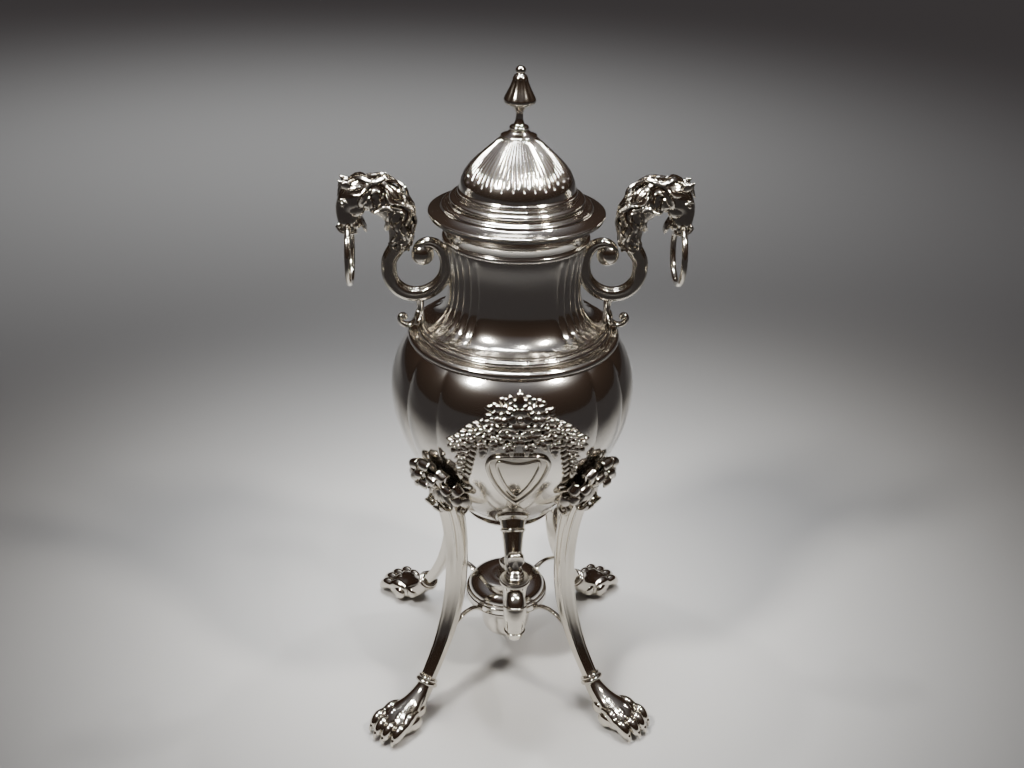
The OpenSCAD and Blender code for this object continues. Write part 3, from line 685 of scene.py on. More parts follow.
def flat_blade(work, start, end, wide, lift, rise=1.2, lobes=0, bend=0.0):
    """A leaf on the belly from start to end, both (x, z): it rises by `lift` at its middle and its end."""
    count = 16
    t = np.linspace(0, 1, count)
    start, end = np.array(start, float), np.array(end, float)
    line = start + (end - start) * t[:, None]
    normal = np.array([-(end - start)[1], (end - start)[0]])
    line = line + normal * (bend * np.sin(np.pi * t))[:, None]
    height = rise * 0.4 + lift * np.sin(np.pi * 0.62 * t) ** 1.2
    path = np.stack([line[:, 0], height, line[:, 1]], 1)
    grid, hollow = blade(path, (0, 1, 0), leaf_width(count, wide, lobes), rise)
    work.add(on_body(grid), hollow)


def rosette(work, x, z, radius, lift, petals, start=0.0):
    """A flower on the belly: petals round a boss, each petal a cupped blade."""
    for k in range(petals):
        turn = start + 2 * math.pi * k / petals
        tip = (x + radius * math.cos(turn), z + radius * math.sin(turn))
        near = (x + 0.12 * radius * math.cos(turn), z + 0.12 * radius * math.sin(turn))
        flat_blade(work, near, tip, radius * 0.46, lift, 1.3)
    boss = ball((x, lift * 0.75, z), (radius * 0.3, 1.9, radius * 0.3), 8, 12)
    work.add(on_body(boss), 0.1)


def make_shield():
    """A heart-shaped plate with two raised edges: the outlines are pairs of cubic curves, mirrored."""
    low, high, wide = BODY_Z + 0.3 * BODY_H, BODY_Z + 0.66 * BODY_H, 19.0

    def outline(edge, count=36):
        side = np.vstack([
            bezier((0, low + 1.5 * edge), (wide * 0.22, low + 4 + 1.2 * edge),
                   (wide * 0.84 - edge, low + 18 + edge),
                   (wide - edge, high - 9), count),
            bezier((wide - edge, high - 9), (wide - edge, high - 1), (wide * 0.5, high - edge),
                   (0, high - edge), count)[1:]])
        return np.vstack([side, (side * (-1, 1))[-2:0:-1]])

    work = Work()
    share = np.array([0.0, 0.35, 0.7, 0.9, 0.98, 1.0, 1.0])[:, None, None]
    height = np.array([0.9, 0.9, 0.9, 0.9, 0.8, 0.5, -0.5])[:, None]
    edge = outline(0.5)
    middle = np.array([0, (low + high) / 2 + 4])
    face = middle + (edge - middle) * share
    plate = np.stack([face[..., 0], np.broadcast_to(height, face.shape[:2]), face[..., 1]], -1)
    under = plate[:1] * (1, 0, 1) + (0, -0.5, 0)
    work.add(on_body(np.concatenate([plate, under])), 0.12)
    for inwards, radius, lift in ((0.9, 1.35, 1.1), (6.4, 0.8, 1.3)):
        line = outline(inwards)
        path = np.stack([line[:, 0], np.full(len(line), lift), line[:, 1]], 1)
        tangent = unit(np.roll(path, -1, 0) - np.roll(path, 1, 0))
        side = np.cross(tangent, (0, 1, 0))
        a = circle(12)[None, :, None]
        ridge = path[:, None] + radius * (side[:, None] * np.cos(a) + np.array([0, 1.0, 0]) * np.sin(a))
        # painted shade: the ridges are darker on their lower halves, next to the plate
        work.add(on_body(ridge), np.clip(-np.sin(a[..., 0]), 0, 1) * np.ones((len(path), 1)), closed=True)
    work.make("shield_plate", "cartouche", "chased_silver", sharp=60)


def make_flowers():
    """The spray over the shield: leaves fanned behind, three large flowers and small ones between them."""
    look = bpy.context.scene.urn_ornament
    lift = look.relief / MM
    z = FLOWER_Z
    work = Work()
    for k in range(15):
        turn = math.radians(-28 + 236 * k / 14)
        reach = (20.5 + 1.5 * (k % 2), 12.5)
        tip = (reach[0] * math.cos(turn), z - 1 + reach[1] * math.sin(turn))
        flat_blade(work, (0.35 * tip[0], z - 1 + 0.35 * (tip[1] - z)), tip, 3.1, 0.4 * lift, 1.0,
                   lobes=4, bend=0.1 * (-1) ** k)
    flat_blade(work, (0, z), (0, z + 13.5), 3.6, lift, 1.3, lobes=4)
    for x, rise, radius in ((0, -1.5, 7.2), (10.5, 1.0, 5.8), (5.4, 6.5, 4.4), (15.5, -5.0, 4.6),
                            (7.0, -9.0, 5.2),
                            (0, -12.5, 4.6), (19.5, -10.5, 4.4), (13.0, -14.5, 4.6), (6.2, -18.0, 3.8),
                            (20.5, -18.0, 3.6)):
        for side in (-1, 1) if x else (1,):
            rosette(work, side * x, z + rise, radius, 0.85 * lift, look.petals, start=0.3 * x * side)
    for x, rise, turn in ((11, -19, -40), (19, -23, -70), (3, -20, -80), (24, -14, -20)):
        for side in (-1, 1):
            tip = (side * (x + 6 * math.cos(math.radians(turn))), z + rise + 6 * math.sin(math.radians(turn)))
            flat_blade(work, (side * x, z + rise + 3), tip, 2.4, 0.35 * lift, 1.0, lobes=3, bend=0.1 * side)
    work.make("flower_spray_relief", "flower_spray", "chased_silver", sharp=60)


def make_festoon(side, sign):
    """Flowers that hang from the spray to the side, a drop of buds below them and leaves behind."""
    lift = bpy.context.scene.urn_ornament.relief / MM
    z = FLOWER_Z
    work = Work(sign)
    chain = smooth([(18.0, z - 7.5), (23, z - 10), (28, z - 14), (32, z - 19), (36.5, z - 23)], 6)
    for k, (x, height) in enumerate(chain):
        rosette(work, x, height, 3.7 + 0.6 * (k % 2), 0.62 * lift, 5, start=k)
        flat_blade(work, (x, height), (x + 5.6, height + 3.6), 2.4, 0.3 * lift, 1.0, 3, 0.12)
        flat_blade(work, (x, height), (x - 4.4, height - 5), 2.2, 0.3 * lift, 1.0, 3, -0.12)
    for k in range(6):
        height, radius = z - 21.5 - 4.3 * k, 3.7 - 0.36 * k
        rosette(work, 31.5 + 0.4 * k, height, radius, 0.55 * lift, 5, start=0.7 * k)
        for out in (-1, 1):
            flat_blade(work, (31.5, height), (31.5 + out * (7.2 - 0.7 * k), height - 2.6), 1.7,
                       0.25 * lift, 0.9, 2, 0.1 * out)
    flat_blade(work, (33.5, z - 43), (33.8, z - 51), 1.6, 0.25 * lift, 0.9)
    work.make("festoon_" + side, "swag_" + side, "chased_silver", sharp=60)


# ---- legs and feet ----


def leg_line():
    """A leg's middle in the plane of its corner, from the ankle up to the belly: two cubic curves."""
    waist_z = 0.8 * BODY_Z
    low = bezier((ANKLE_S, ANKLE_Z), (0.78 * ANKLE_S, 2 * ANKLE_Z), (KNEE_S, 0.55 * BODY_Z),
                 (KNEE_S, waist_z), 60)
    high = bezier((KNEE_S, waist_z), (KNEE_S - 0.5, BODY_Z + 3), (KNEE_S + 6, BODY_Z + 26),
                  (body_radius(LEG_TOP_Z) + 4, LEG_TOP_Z + 2), 60)
    line = even(np.vstack([low, high[1:]]), 90)
    return np.stack([line[:, 0], np.zeros(90), line[:, 1]], 1)


def make_leg(corner, turn):
    """A bar with a raised edge on each side of its outer face, which is painted darker as shade, and flutes
    high up on it.
    """
    path = leg_line()
    thick = spread([3.5, 3.7, 4.2, 4.4, 4.5, 4.9, 5.6], len(path))
    wide = spread([4.5, 5.1, 6.2, 7.0, 7.8, 8.8, 9.8], len(path))
    z = path[:, 2:]

    def relief(share, angle):
        across = np.sign(np.sin(angle)) * np.abs(np.sin(angle)) ** 0.55
        outside = step(0.1, 0.5, np.cos(angle))
        edge = 0.55 * step(0.72, 0.9, np.abs(across)) * outside
        fade = step(0.72 * BODY_Z, 0.95 * BODY_Z, z)
        flutes = -1.1 * fade * (0.5 + 0.5 * np.cos(np.pi * 7 * across)) * outside * (np.abs(across) < 0.86)
        return edge + flutes - 0.4 * outside * (1 - step(0.72, 0.9, np.abs(across)))

    columns = 72
    grid = swept(path, thick, wide, columns, square=0.55, relief=relief)
    share = np.linspace(0, 1, len(path))[:, None]
    angle = circle(columns)[None]
    work = Work()
    # painted shade: the outer face between the edges, on the lower part of the leg, and the flutes are
    # darkened
    face = step(0.1, 0.5, np.cos(angle)) * (np.abs(np.sin(angle)) < 0.75) * (1 - step(0.6, 0.8, share))
    work.add(around(grid, turn), np.clip(np.maximum(0.3 + 0.4 * face, -relief(share, angle) - 0.35), 0, 0.9))
    work.make("leg_bar_" + corner, "leg_" + corner, "cast_silver", sharp=45)


def frond(work, turn, root, aim, length, wide, proud, tight):
    """A lobe of acanthus over a leg. It leaves its root (sideways, height) at an angle from the
    vertical, lies `proud` of the belly for two thirds of its length, and then rolls outwards round a
    circle of radius tight."""
    run = 0.66 * length
    t = np.linspace(0, 1, 14)
    flat = np.stack([run * t, proud * (0.45 + 0.55 * np.sin(0.5 * np.pi * t))], 1)
    turned_by = np.radians(np.linspace(0, 215, 16))[1:]
    shrink = tight * np.linspace(1, 0.62, 15)
    roll = np.stack([run + shrink * np.sin(turned_by), proud + tight - shrink * np.cos(turned_by)], 1)
    along, out = np.vstack([flat, roll]).T
    y = root[0] + along * math.sin(math.radians(aim))
    z = root[1] + along * math.cos(math.radians(aim))
    s = np.sqrt(np.maximum(body_radius(z) ** 2 - y**2, 1)) + 0.94 * out
    path = np.stack([s, y, z - 0.3 * out], 1)
    rows = len(path)
    width = wide * np.interp(np.linspace(0, 1, rows), [0, 0.25, 0.5, 0.72, 1], [0.45, 0.9, 1.0, 0.95, 0.6])
    width = width * (0.86 + 0.14 * np.abs(np.sin(np.linspace(0, 3 * np.pi, rows))))
    tangent = unit(np.gradient(path, axis=0))
    side = unit(np.cross((1.0, 0, -0.3), (0, math.sin(math.radians(aim)), math.cos(math.radians(aim)))))
    grid, hollow = blade(path, np.cross(tangent, side), width, LOBE_THICK, 16, cup=-0.22, vein=0.75)
    work.add(around(grid, turn), hollow)


def curl(work, turn, start, centre, radius, side, wire):
    """A small scroll: a spiral in the plane of its corner that winds inwards by one and a quarter turns."""
    count = 40
    t = np.linspace(0, 1, count)
    angle = np.pi * (0.5 + 2.5 * t)
    r = radius * (1 - 0.72 * t)
    path = np.stack([centre[0] + r * np.cos(angle), np.full(count, side), centre[1] + r * np.sin(angle)], 1)
    path = np.vstack([smooth([(start[0], side, start[1]), path[0] + (2, 0, 0.4), path[0]], 10)[:-1], path])
    sizes = wire * np.interp(np.linspace(0, 1, len(path)), [0, 0.1, 0.8, 1], [0.8, 1, 0.8, 0.9])
    work.add(around(swept(path, sizes, sizes * 1.5, 12), turn), 0.15)
    work.add(around(ball((centre[0], side, centre[1]), (wire * 1.1, wire * 2.1, wire * 1.1), 8, 12), turn),
             0.1)


def make_acanthus(corner, turn):
    """Lobes that cover the top of a leg in three tiers, two that hang over the leg, and a scroll on
    each side."""
    low = LEG_TOP_Z
    work = Work()
    for aim, length, wide in ((0, 37, 5.0), (24, 34, 4.4), (52, 27, 4.2), (84, 20, 3.8)):
        for side in (-1, 1) if aim else (1,):
            frond(work, turn, (side * aim / 14, low + 1), side * aim, length, wide, 3.2, 2.6)
    for aim, length, wide in ((13, 26, 4.4), (40, 22, 4.0), (72, 16, 3.6)):
        for side in (-1, 1):
            frond(work, turn, (side * aim / 12, low + 1), side * aim, length, wide, 6.0, 2.4)
    frond(work, turn, (0, low + 3), 0, 17, 4.4, 8.6, 2.4)
    for side in (-1, 1):
        frond(work, turn, (side * 2.4, low + 6), side * 158, 16, 4.2, 9.4, 2.3)
        curl(work, turn, (body_radius(low - 8) + 6, low - 1), (body_radius(low - 14) + 5.5, low - 13.5),
             5.2, side * 8.4, 1.8)
    frond(work, turn, (0, low + 7), 180, 20, 4.0, 10.2, 2.3)
    work.make("acanthus_" + corner, "knee_leaf_" + corner, "chased_silver", sharp=60)


def make_paw(corner, turn):
    """A lion's paw: a wrist that widens into a pad, four toes with two knuckles and a claw each, and a
    ring at the ankle. Nothing goes below the table."""
    look = bpy.context.scene.urn_feet
    work = Work()

    def put(grid, hollow=0.0):
        grid = grid + (ANKLE_S, 0, 0)
        grid[..., 2] = np.maximum(grid[..., 2], 0)
        work.add(around(grid, turn), hollow)

    wrist = smooth([(-2, 0, ANKLE_Z + 1.5), (4, 0, ANKLE_Z - 5), (12, 0, ANKLE_Z - 11), (20, 0, 9.4),
                    (28, 0, 8.0), (35, 0, 6.8)], 40)
    thick = spread([5.2, 5.8, 7.4, 8.6, 8.2, 5.2], 40)
    wide = spread([5.2, 5.8, 8.0, 11.2, 12.2, 9.6], 40)

    def tufts(share, angle):
        wave = np.sin(7 * angle + 10 * share) * np.sin(np.pi * np.clip(share, 0, 1)) ** 0.5
        return 0.3 * wave * (np.cos(angle) > -0.4) * (1 - step(0.5, 0.75, share))

    put(swept(wrist, thick, wide, 48, square=0.9, relief=tufts), 0.05)
    toes = look.toes
    for k in range(toes):
        out = (k - (toes - 1) / 2) / ((toes - 1) / 2)
        y0, y1 = 7.4 * out, 9.9 * out
        back = 3.0 * out * out
        path = smooth([(20 - back, y0, 11.8), (27 - back, 0.6 * y0 + 0.4 * y1, 12.6), (32 - back, y1, 10.8),
                       (37 - back, y1 * 1.02, 10.2), (41.0 - back, y1 * 1.03, 6.8),
                       (41.6 - back, y1 * 1.03, 3.4)], 34)
        size = spread([3.2, 4.4, 3.5, 4.3, 3.7, 2.0], 34)
        put(swept(path, size, size * 0.9, 20, side=(0, 1, 0)), 0.0)
        nail = smooth([(39.5 - back, y1 * 1.03, 8.0), (43.2 - back, y1 * 1.04, 7.0),
                       (44.8 - back, y1 * 1.05, 4.2),
                       (44.6 - back, y1 * 1.05, 1.6)], 16)
        # painted shade: the claws, down by the table, are darkened
        put(rod(nail, spread([1.6, 1.6, 1.2, 0.5], 16), 12), 0.35)
    for out in (-1, 1):
        put(ball((21, out * 10.6, 8.0), (5.6, 3.2, 5.2), 10, 16), 0.05)
        put(ball((12, out * 6.4, 10.5), (5.0, 3.0, 4.6), 10, 16), 0.05)
    direction = np.array([-0.62, 0, 0.785])
    for lift, radius, wire in ((0.6, 6.3, 1.5), (3.2, 5.7, 1.2)):
        a = circle(48)[:, None]
        b = circle(12)[None]
        normal = np.cross(direction, (0, 1, 0))
        spoke = np.cos(a)[..., None] * normal + np.sin(a)[..., None] * np.array([0, 1, 0])
        hoop = spoke * (radius + wire * np.cos(b))[..., None] + direction * (wire * np.sin(b))[..., None]
        grid = hoop + direction * lift + (0.4, 0, ANKLE_Z)
        work.add(around(grid + (ANKLE_S, 0, 0), turn), 0.0, closed=True)
    work.make("lion_paw_" + corner, "paw_" + corner, "chased_silver", sharp=60)


# ---- handles ----


def handle_line():
    """The scroll's middle in the XZ plane: down from the head, round the eye and up inside it."""
    eye = np.array([WAIST_R + 17.8, NECK_Z + 35.5])
    joint = np.array([RING_X - 28.5, NECK_Z + 66.5 - 16])
    low = bezier(joint, joint + (-0.5, -4.5), eye + (19, 8), eye + (18.3, 0), 24)
    share = np.linspace(0, 1, 110)[1:, None]
    turn = np.radians(-330 * share)
    radius = spread([18.3, 20.0, 18.2, 12.8, 7.4, 4.6], 110)[1:, None]
    spiral = eye + np.array([-2.0, 8.0]) * step(0, 0.82,
                                                share) + radius * np.hstack([np.cos(turn), np.sin(turn)])
    return eye, np.vstack([low, spiral])


def lift_to_3d(line):
    """An (x, z) line as points in the XZ plane."""
    return np.stack([line[:, 0], np.zeros(len(line)), line[:, 1]], 1)


def make_scroll(side, sign):
    """A tapering bar with two grooves along each face, wound round the eye to a round knob."""
    eye, line = handle_line()
    path = lift_to_3d(line)
    thick = spread([5.4, 4.9, 4.7, 4.7, 4.6, 4.3, 3.7, 3.1, 2.6, 2.2], len(path))
    wide = spread([5.0, 4.9, 4.8, 4.6, 4.4, 4.2, 4.0, 3.8, 3.6, 3.2], len(path))

    def grooves(share, angle):
        return -0.5 * np.abs(np.sin(3 * angle)) ** 6 * (1 - step(0.75, 0.95, share))

    work = Work(sign)
    grid = swept(path, thick, wide, 48, square=0.85, relief=grooves)
    angle = circle(48)[None]
    share = np.linspace(0, 1, len(path))[:, None]
    # painted shade and tarnish: the grooves are darkened
    work.add(grid, np.clip(-1.8 * grooves(share, angle), 0, 0.9))
    work.add(ball((eye[0] - 2.0, 0, eye[1] + 8.0), (7.0, 5.6, 7.0), 24, 36), 0.05)
    work.make("scroll_" + side, "handle_scroll_" + side, "cast_silver", sharp=60)


def make_handle_leaf(side, sign):
    """The stem under the scroll, the curl beside it and a leaf on each side of its foot."""
    eye, _ = handle_line()
    pad = NECK_FOOT_R + 2.6
    work = Work(sign)
    stem = bezier((eye[0] + 1, eye[1] - 18), (eye[0] - 1, eye[1] - 26), (pad, NECK_Z + 9),
                  (pad, NECK_Z + 0.5), 24)
    work.add(swept(lift_to_3d(stem), spread([3.6, 2.4, 2.1, 3.0], 24), spread([4.2, 3.0, 3.2, 5.0], 24), 24,
                            relief=lambda share, angle: -0.4 * np.abs(np.sin(2.5 * angle)) ** 4), 0.15)
    spiral = np.vstack([
        bezier((pad + 0.6, NECK_Z + 4), (pad + 3, NECK_Z - 3.4), (pad + 9, NECK_Z - 5),
               (pad + 12, NECK_Z - 1), 20),
        bezier((pad + 12, NECK_Z - 1), (pad + 14.4, NECK_Z + 2.6), (pad + 10.6, NECK_Z + 5),
               (pad + 9.4, NECK_Z + 2.6),
               16)[1:]])
    work.add(swept(lift_to_3d(spiral), spread([1.8, 1.8, 1.6, 1.5], 35), spread([2.8, 2.6, 2.4, 2.2], 35),
                            16), 0.1)
    work.add(ball((pad + 9.8, 0, NECK_Z + 2.4), (2.0, 2.6, 2.0), 10, 16), 0.0)
    for out in (-1, 1):
        path = smooth([(pad - 1, 0, NECK_Z + 7), (pad + 1, out * 3, NECK_Z + 4),
                       (pad + 1.6, out * 7.0, NECK_Z + 1.6),
                       (pad + 0.2, out * 10.5, NECK_Z + 2.6)], 18)
        work.add_blade(blade(path, (0.7, 0, 0.7), leaf_width(18, 3.0, 4), 0.9))
    path = smooth([(pad - 1, 0, NECK_Z + 10), (pad + 2.6, 0, NECK_Z + 5), (pad + 3.4, 0, NECK_Z + 0.5)], 18)
    work.add_blade(blade(path, (1, 0, 0.2), leaf_width(18, 3.4, 4), 0.9))
    work.make("handle_leaf_" + side, "handle_foot_" + side, "cast_silver", sharp=60)


def head_line():
    """Middle line of the neck and head, from the scroll over the crest and down to the muzzle, with
    half sizes."""
    x, z = RING_X, MUZZLE_Z
    middle = [(x - 29.0, z - 15), (x - 30.4, z - 7.5), (x - 30.2, z + 0.7), (x - 27.4, z + 9),
              (x - 21.5, z + 15.2),
              (x - 13.5, z + 18.2), (x - 6, z + 17), (x - 1.4, z + 11.2), (x - 0.4, z + 3.7),
              (x - 0.3, z - 3.6)]
    thick = [5.2, 6.2, 7.6, 9.4, 10.2, 9.8, 9.9, 8.4, 7.2, 4.9]
    wide = [4.9, 5.4, 6.0, 6.6, 6.9, 6.8, 6.9, 6.4, 5.9, 4.6]
    return lift_to_3d(smooth(middle, 80)), spread(thick, 80), spread(wide, 80)


def make_head(side, sign):
    """An animal's head on an arched neck: a swept core, rows of hair locks over the crest and neck,
    ears, eyes, lips and a beard. The locks are curved blades laid from the brow back to the scroll."""
    look = bpy.context.scene.urn_handles
    path, thick, wide = head_line()
    work = Work(sign)

    def face(share, angle):
        jaw = 0.7 * np.exp(-(((share - 0.72) / 0.06) ** 2)) * np.abs(np.sin(angle))
        lips = -0.9 * np.exp(-(((share - 0.955) / 0.012) ** 2))
        cheek = -0.7 * np.exp(-(((share - 0.84) / 0.05) ** 2)) * np.abs(np.sin(angle)) ** 2
        hair = 0.45 * np.sin(11 * angle + 30 * share) * (1 - step(0.6, 0.7, share))
        return jaw + lips + cheek + hair

    grid = swept(path, thick, wide, 56, square=0.95, relief=face)
    angle = circle(56)[None]
    share = np.linspace(0, 1, len(path))[:, None]
    # painted shade and tarnish: the lips, the cheeks' hollows and the troughs of the hair are darkened
    work.add(grid, np.clip(0.3 - face(share, angle), 0, 0.8))
    tangent = unit(np.gradient(path, axis=0))
    out = np.cross((0, 1, 0), tangent)
    for row in range(look.lock_rows):
        for lock in range(9):
            place = 0.70 - 0.66 * (row + 0.5 * (lock % 2)) / look.lock_rows
            turn = math.radians(180 + (lock - 4) * 27)
            places = np.clip(place - np.linspace(0, look.lock_length, 9), 0.005, 1)
            k = places * (len(path) - 1)
            low = k.astype(int)
            rest = (k - low)[:, None]
            high = np.minimum(low + 1, len(path) - 1)
            centre = path[low] * (1 - rest) + path[high] * rest
            normal = out[low]
            lift = 1 + 0.3 * np.sin(np.linspace(0, 2.4, 9)) + 0.05 * math.sin(5 * row + 3 * lock)
            sway = turn + 0.34 * np.sin(np.linspace(0, 3.6, 9) + 2.1 * row + lock)
            radial = normal * (np.cos(sway) * thick[low] * lift)[:, None]
            radial = radial + np.array([0, 1.0, 0]) * (np.sin(sway) * wide[low] * lift)[:, None]
            work.add_blade(blade(centre + radial, unit(radial[4]), leaf_width(9, 1.9), 0.95, 8, vein=0.6))
    add_face(work)
    work.make("head_" + side, "handle_head_" + side, "chased_silver", sharp=60)


def add_face(work):
    """Ears, forelock, brows, eyes, nostrils, lips and beard, placed from the muzzle."""
    x, z = RING_X, MUZZLE_Z
    for out in (-1, 1):
        ear = smooth([(x - 2, out * 4.2, z + 22), (x + 1.6, out * 5.4, z + 25.2),
                      (x + 4.6, out * 5.6, z + 27.6)], 12)
        work.add_blade(blade(ear, (0.3, out * 1.0, 0.2), leaf_width(12, 2.4, broad=0.6), 0.9, 10, vein=0.9))
        eye = ball((x + 2.6, out * 5.6, z + 13.4), (1.7, 1.1, 1.5), 8, 12)
        work.add(eye, 0.0)
        brow = smooth([(x + 5.4, out * 4.2, z + 15), (x + 3.2, out * 6.3, z + 16.4),
                       (x - 1, out * 6.6, z + 14.6)], 12)
        work.add(rod(brow, spread([0.5, 1.0, 0.4], 12), 8), 0.0)
        nostril = ball((x + 5.0, out * 3.2, z - 0.4), (1.5, 1.4, 1.7), 8, 12)
        work.add(nostril, 0.25)
        cheek = ball((x - 5.4, out * 4.6, z + 11), (5.2, 2.4, 5.6), 10, 16)
        work.add(cheek, 0.1)
    for k in range(5):
        out = (k - 2) * 2.2
        lock = smooth([(x - 3, out, z + 25.4), (x + 2, out * 1.1, z + 26.2),
                       (x + 5.6, out * 1.2, z + 22.6 - abs(out))], 10)
        work.add_blade(blade(lock, (0.4, 0, 1), leaf_width(10, 1.5), 0.9, 8))
        lock = smooth([(x - 6.4, out, z + 4), (x - 9, out * 0.9, z - 0.5), (x - 10.6, out * 0.6, z - 4.8)],
                      10)
        work.add_blade(blade(lock, (-1, 0, 0.1), leaf_width(10, 1.6), 1.0, 8))
        lock = smooth([(x - 24, out, z + 4), (x - 22.4, out * 0.8, z),
                       (x - 21.4 - 0.3 * abs(out), out * 0.4, z - 4.4)], 10)
        work.add_blade(blade(lock, (1, 0, 0.1), leaf_width(10, 1.7), 1.2, 8))
    lip = smooth([(x - 5, 0, z - 4.6), (x, 0, z - 5.6), (x + 4.4, 0, z - 4.2), (x + 6.6, 0, z - 1.4)], 18)
    work.add(swept(lip, 1.5, spread([3.4, 4.2, 4.0, 2.6], 18), 16), 0.1)
    work.add(ball((x - 4.6, 0, z + 0.2), (3.4, 5.2, 3.8), 12, 18), 0.1)


def make_ring(side, sign):
    """A plain round ring of wire, a torus."""
    a = circle(128)[:, None]
    b = circle(24)[None]
    radius = RING_MID_R + RING_WIRE * np.cos(b)
    grid = np.stack(np.broadcast_arrays(RING_X + RING_WIRE * np.sin(b), radius * np.cos(a),
                                        RING_MID_Z + radius * np.sin(a)), -1)
    single("loose_ring_" + side, "ring_" + side, "cast_silver", grid, closed=True, sign=sign)


# ---- tap ----


def make_tap():
    """Rose and pipe, barrel, spout, and the plug with its collar and key."""
    root_z = BODY_Z + 14
    root = (0, -body_radius(root_z), root_z)
    path = bezier((0, root[1] + 3, root_z + 3), (0, root[1] - 8, root_z - 8), (0, TAP_Y + 16, TAP_Z),
                  (0, TAP_Y + 6.6, TAP_Z), 40)
    work = Work()
    size = spread([9.6, 7.6, 6.2, 5.4, 5.0, 4.8], 40)
    work.add(swept(path, size, size, 32, side=(1, 0, 0)), 0.08)
    for place, extra in ((9, 0.7), (33, 0.9)):
        hoop = path[place - 1:place + 2]
        hoop = smooth(hoop, 9)
        bead = np.sin(np.linspace(0, np.pi, 9)) * extra * 1.6
        work.add(swept(hoop, size[place] + bead - 0.2, size[place] + bead - 0.2, 32, side=(1, 0, 0)), 0.05)
    work.make("tap_stem", "tap_pipe", "cast_silver", sharp=50)

    direction = unit(np.array([0, -1.0, -1.0]))
    work = Work()
    outline = eased([(0, -2), (11.0, -2), (11.0, 0.4), (9.6, 1.6), (9.0, 1.2), (8.2, 2.4), (0, 2.4)], 0.4,
                    closed=False)
    rose = turned(outline, 96)
    spin = Vector((0, 0, 1)).rotation_difference(Vector(direction)).to_matrix()
    rose = rose @ np.array(spin).T + np.array(root)
    work.add(rose, 0.1)
    work.make("tap_rose", "tap_escutcheon", "cast_silver")

    half = (BARREL_TOP - BARREL_Z) / 2
    outline = np.vstack([
        [(0, TAP_Z - half), (6.0, TAP_Z - half)],
        [(6.9, TAP_Z - half + 0.5), (7.2, TAP_Z - half + 1.6), (6.6, TAP_Z - half + 2.6)],
        bezier((6.7, TAP_Z - half + 3), (7.0, TAP_Z - 3), (7.6, TAP_Z + 3), (8.4, TAP_Z + half - 4), 14),
        [(9.4, TAP_Z + half - 3.2), (9.5, TAP_Z + half - 1.4), (8.8, TAP_Z + half - 0.8), (8.8, TAP_Z + half),
         (0, TAP_Z + half)]])
    single("tap_barrel_shell", "tap_barrel", "cast_silver",
           turned(eased(outline, 0.35, 3, closed=False), 96) + (0, TAP_Y, 0), 0.05)

    bend = 5.5
    corner = np.array([0, SPOUT_Y + bend, TAP_Z - bend])
    a = np.radians(np.linspace(90, 180, 20))[:, None]
    elbow = corner + bend * (np.cos(a) * (0, 1, 0) + np.sin(a) * (0, 0, 1))
    path = np.vstack([[(0, TAP_Y - 5, TAP_Z)], elbow, [(0, SPOUT_Y, SPOUT_Z + 12), (0, SPOUT_Y, SPOUT_Z)]])
    path = even(path, 60)
    size = spread([5.4, 6.2, 7.0, 7.2, 6.8, 6.3, 5.9, 5.0], 60)
    outside = swept(path, size, size, 40, side=(1, 0, 0))
    inside = swept(path[8:], 2.0, 2.0, 40, side=(1, 0, 0))[::-1]
    work = Work()
    work.add(np.concatenate([outside, inside]), 0.05)
    for place in (14, 50):
        hoop = smooth(path[place - 1:place + 2], 9)
        bead = size[place] - 0.2 + 0.9 * np.sin(np.linspace(0, np.pi, 9))
        work.add(swept(hoop, bead, bead, 40, side=(1, 0, 0)), 0.0)
    work.make("tap_nose", "tap_spout", "cast_silver", sharp=50)
    make_plug()


def make_plug():
    """The plug's collar is a stack of ribs; its key is a flat heart-shaped grip."""
    top = KEY_Z
    outline = [(0, BARREL_Z - 6), (1.8, BARREL_Z - 6), (1.8, BARREL_Z + 0.5), (4.3, BARREL_Z + 0.5),
               (5.1, BARREL_TOP - 0.2), (5.1, top - 6), (6, top - 6), (6, top - 4.5), (4.6, top - 3.9),
               (5.5, top - 3.0), (4.2, top - 2.1), (4.8, top - 1.1), (3.4, top), (0, top)]
    single("tap_peg", "tap_plug", "cast_silver",
           turned(eased(outline, 0.4, 4, closed=False), 72) + (0, TAP_Y, 0), 0.12)
    height = KEY_TOP - KEY_Z
    side = np.vstack([
        bezier((2.4, 0), (2.0, 0.26 * height), (5.0, 0.22 * height), (5.5, 0.5 * height), 16),
        bezier((5.5, 0.5 * height), (5.9, 0.84 * height), (2.4, 1.04 * height), (0, height * 0.93), 18)[1:]])
    edge = np.vstack([side, (side * (-1, 1))[-2::-1]])
    middle = np.array([0, 0.55 * height])
    share = np.array([0.0, 0.5, 0.78, 0.9, 1.0, 1.0, 0.9, 0.78, 0.5, 0.0])[:, None, None]
    depth = np.array([1.2, 1.3, 1.9, 2.2, 1.6, -1.6, -2.2, -1.9, -1.3, -1.2])[:, None]
    face = middle + (edge - middle) * share
    grid = np.stack([face[..., 0], np.broadcast_to(depth, face.shape[:2]), face[..., 1]], -1)
    single("tap_grip", "tap_key", "cast_silver", grid + (0, TAP_Y, KEY_Z), 0.08, sharp=55)


# ---- burner ----


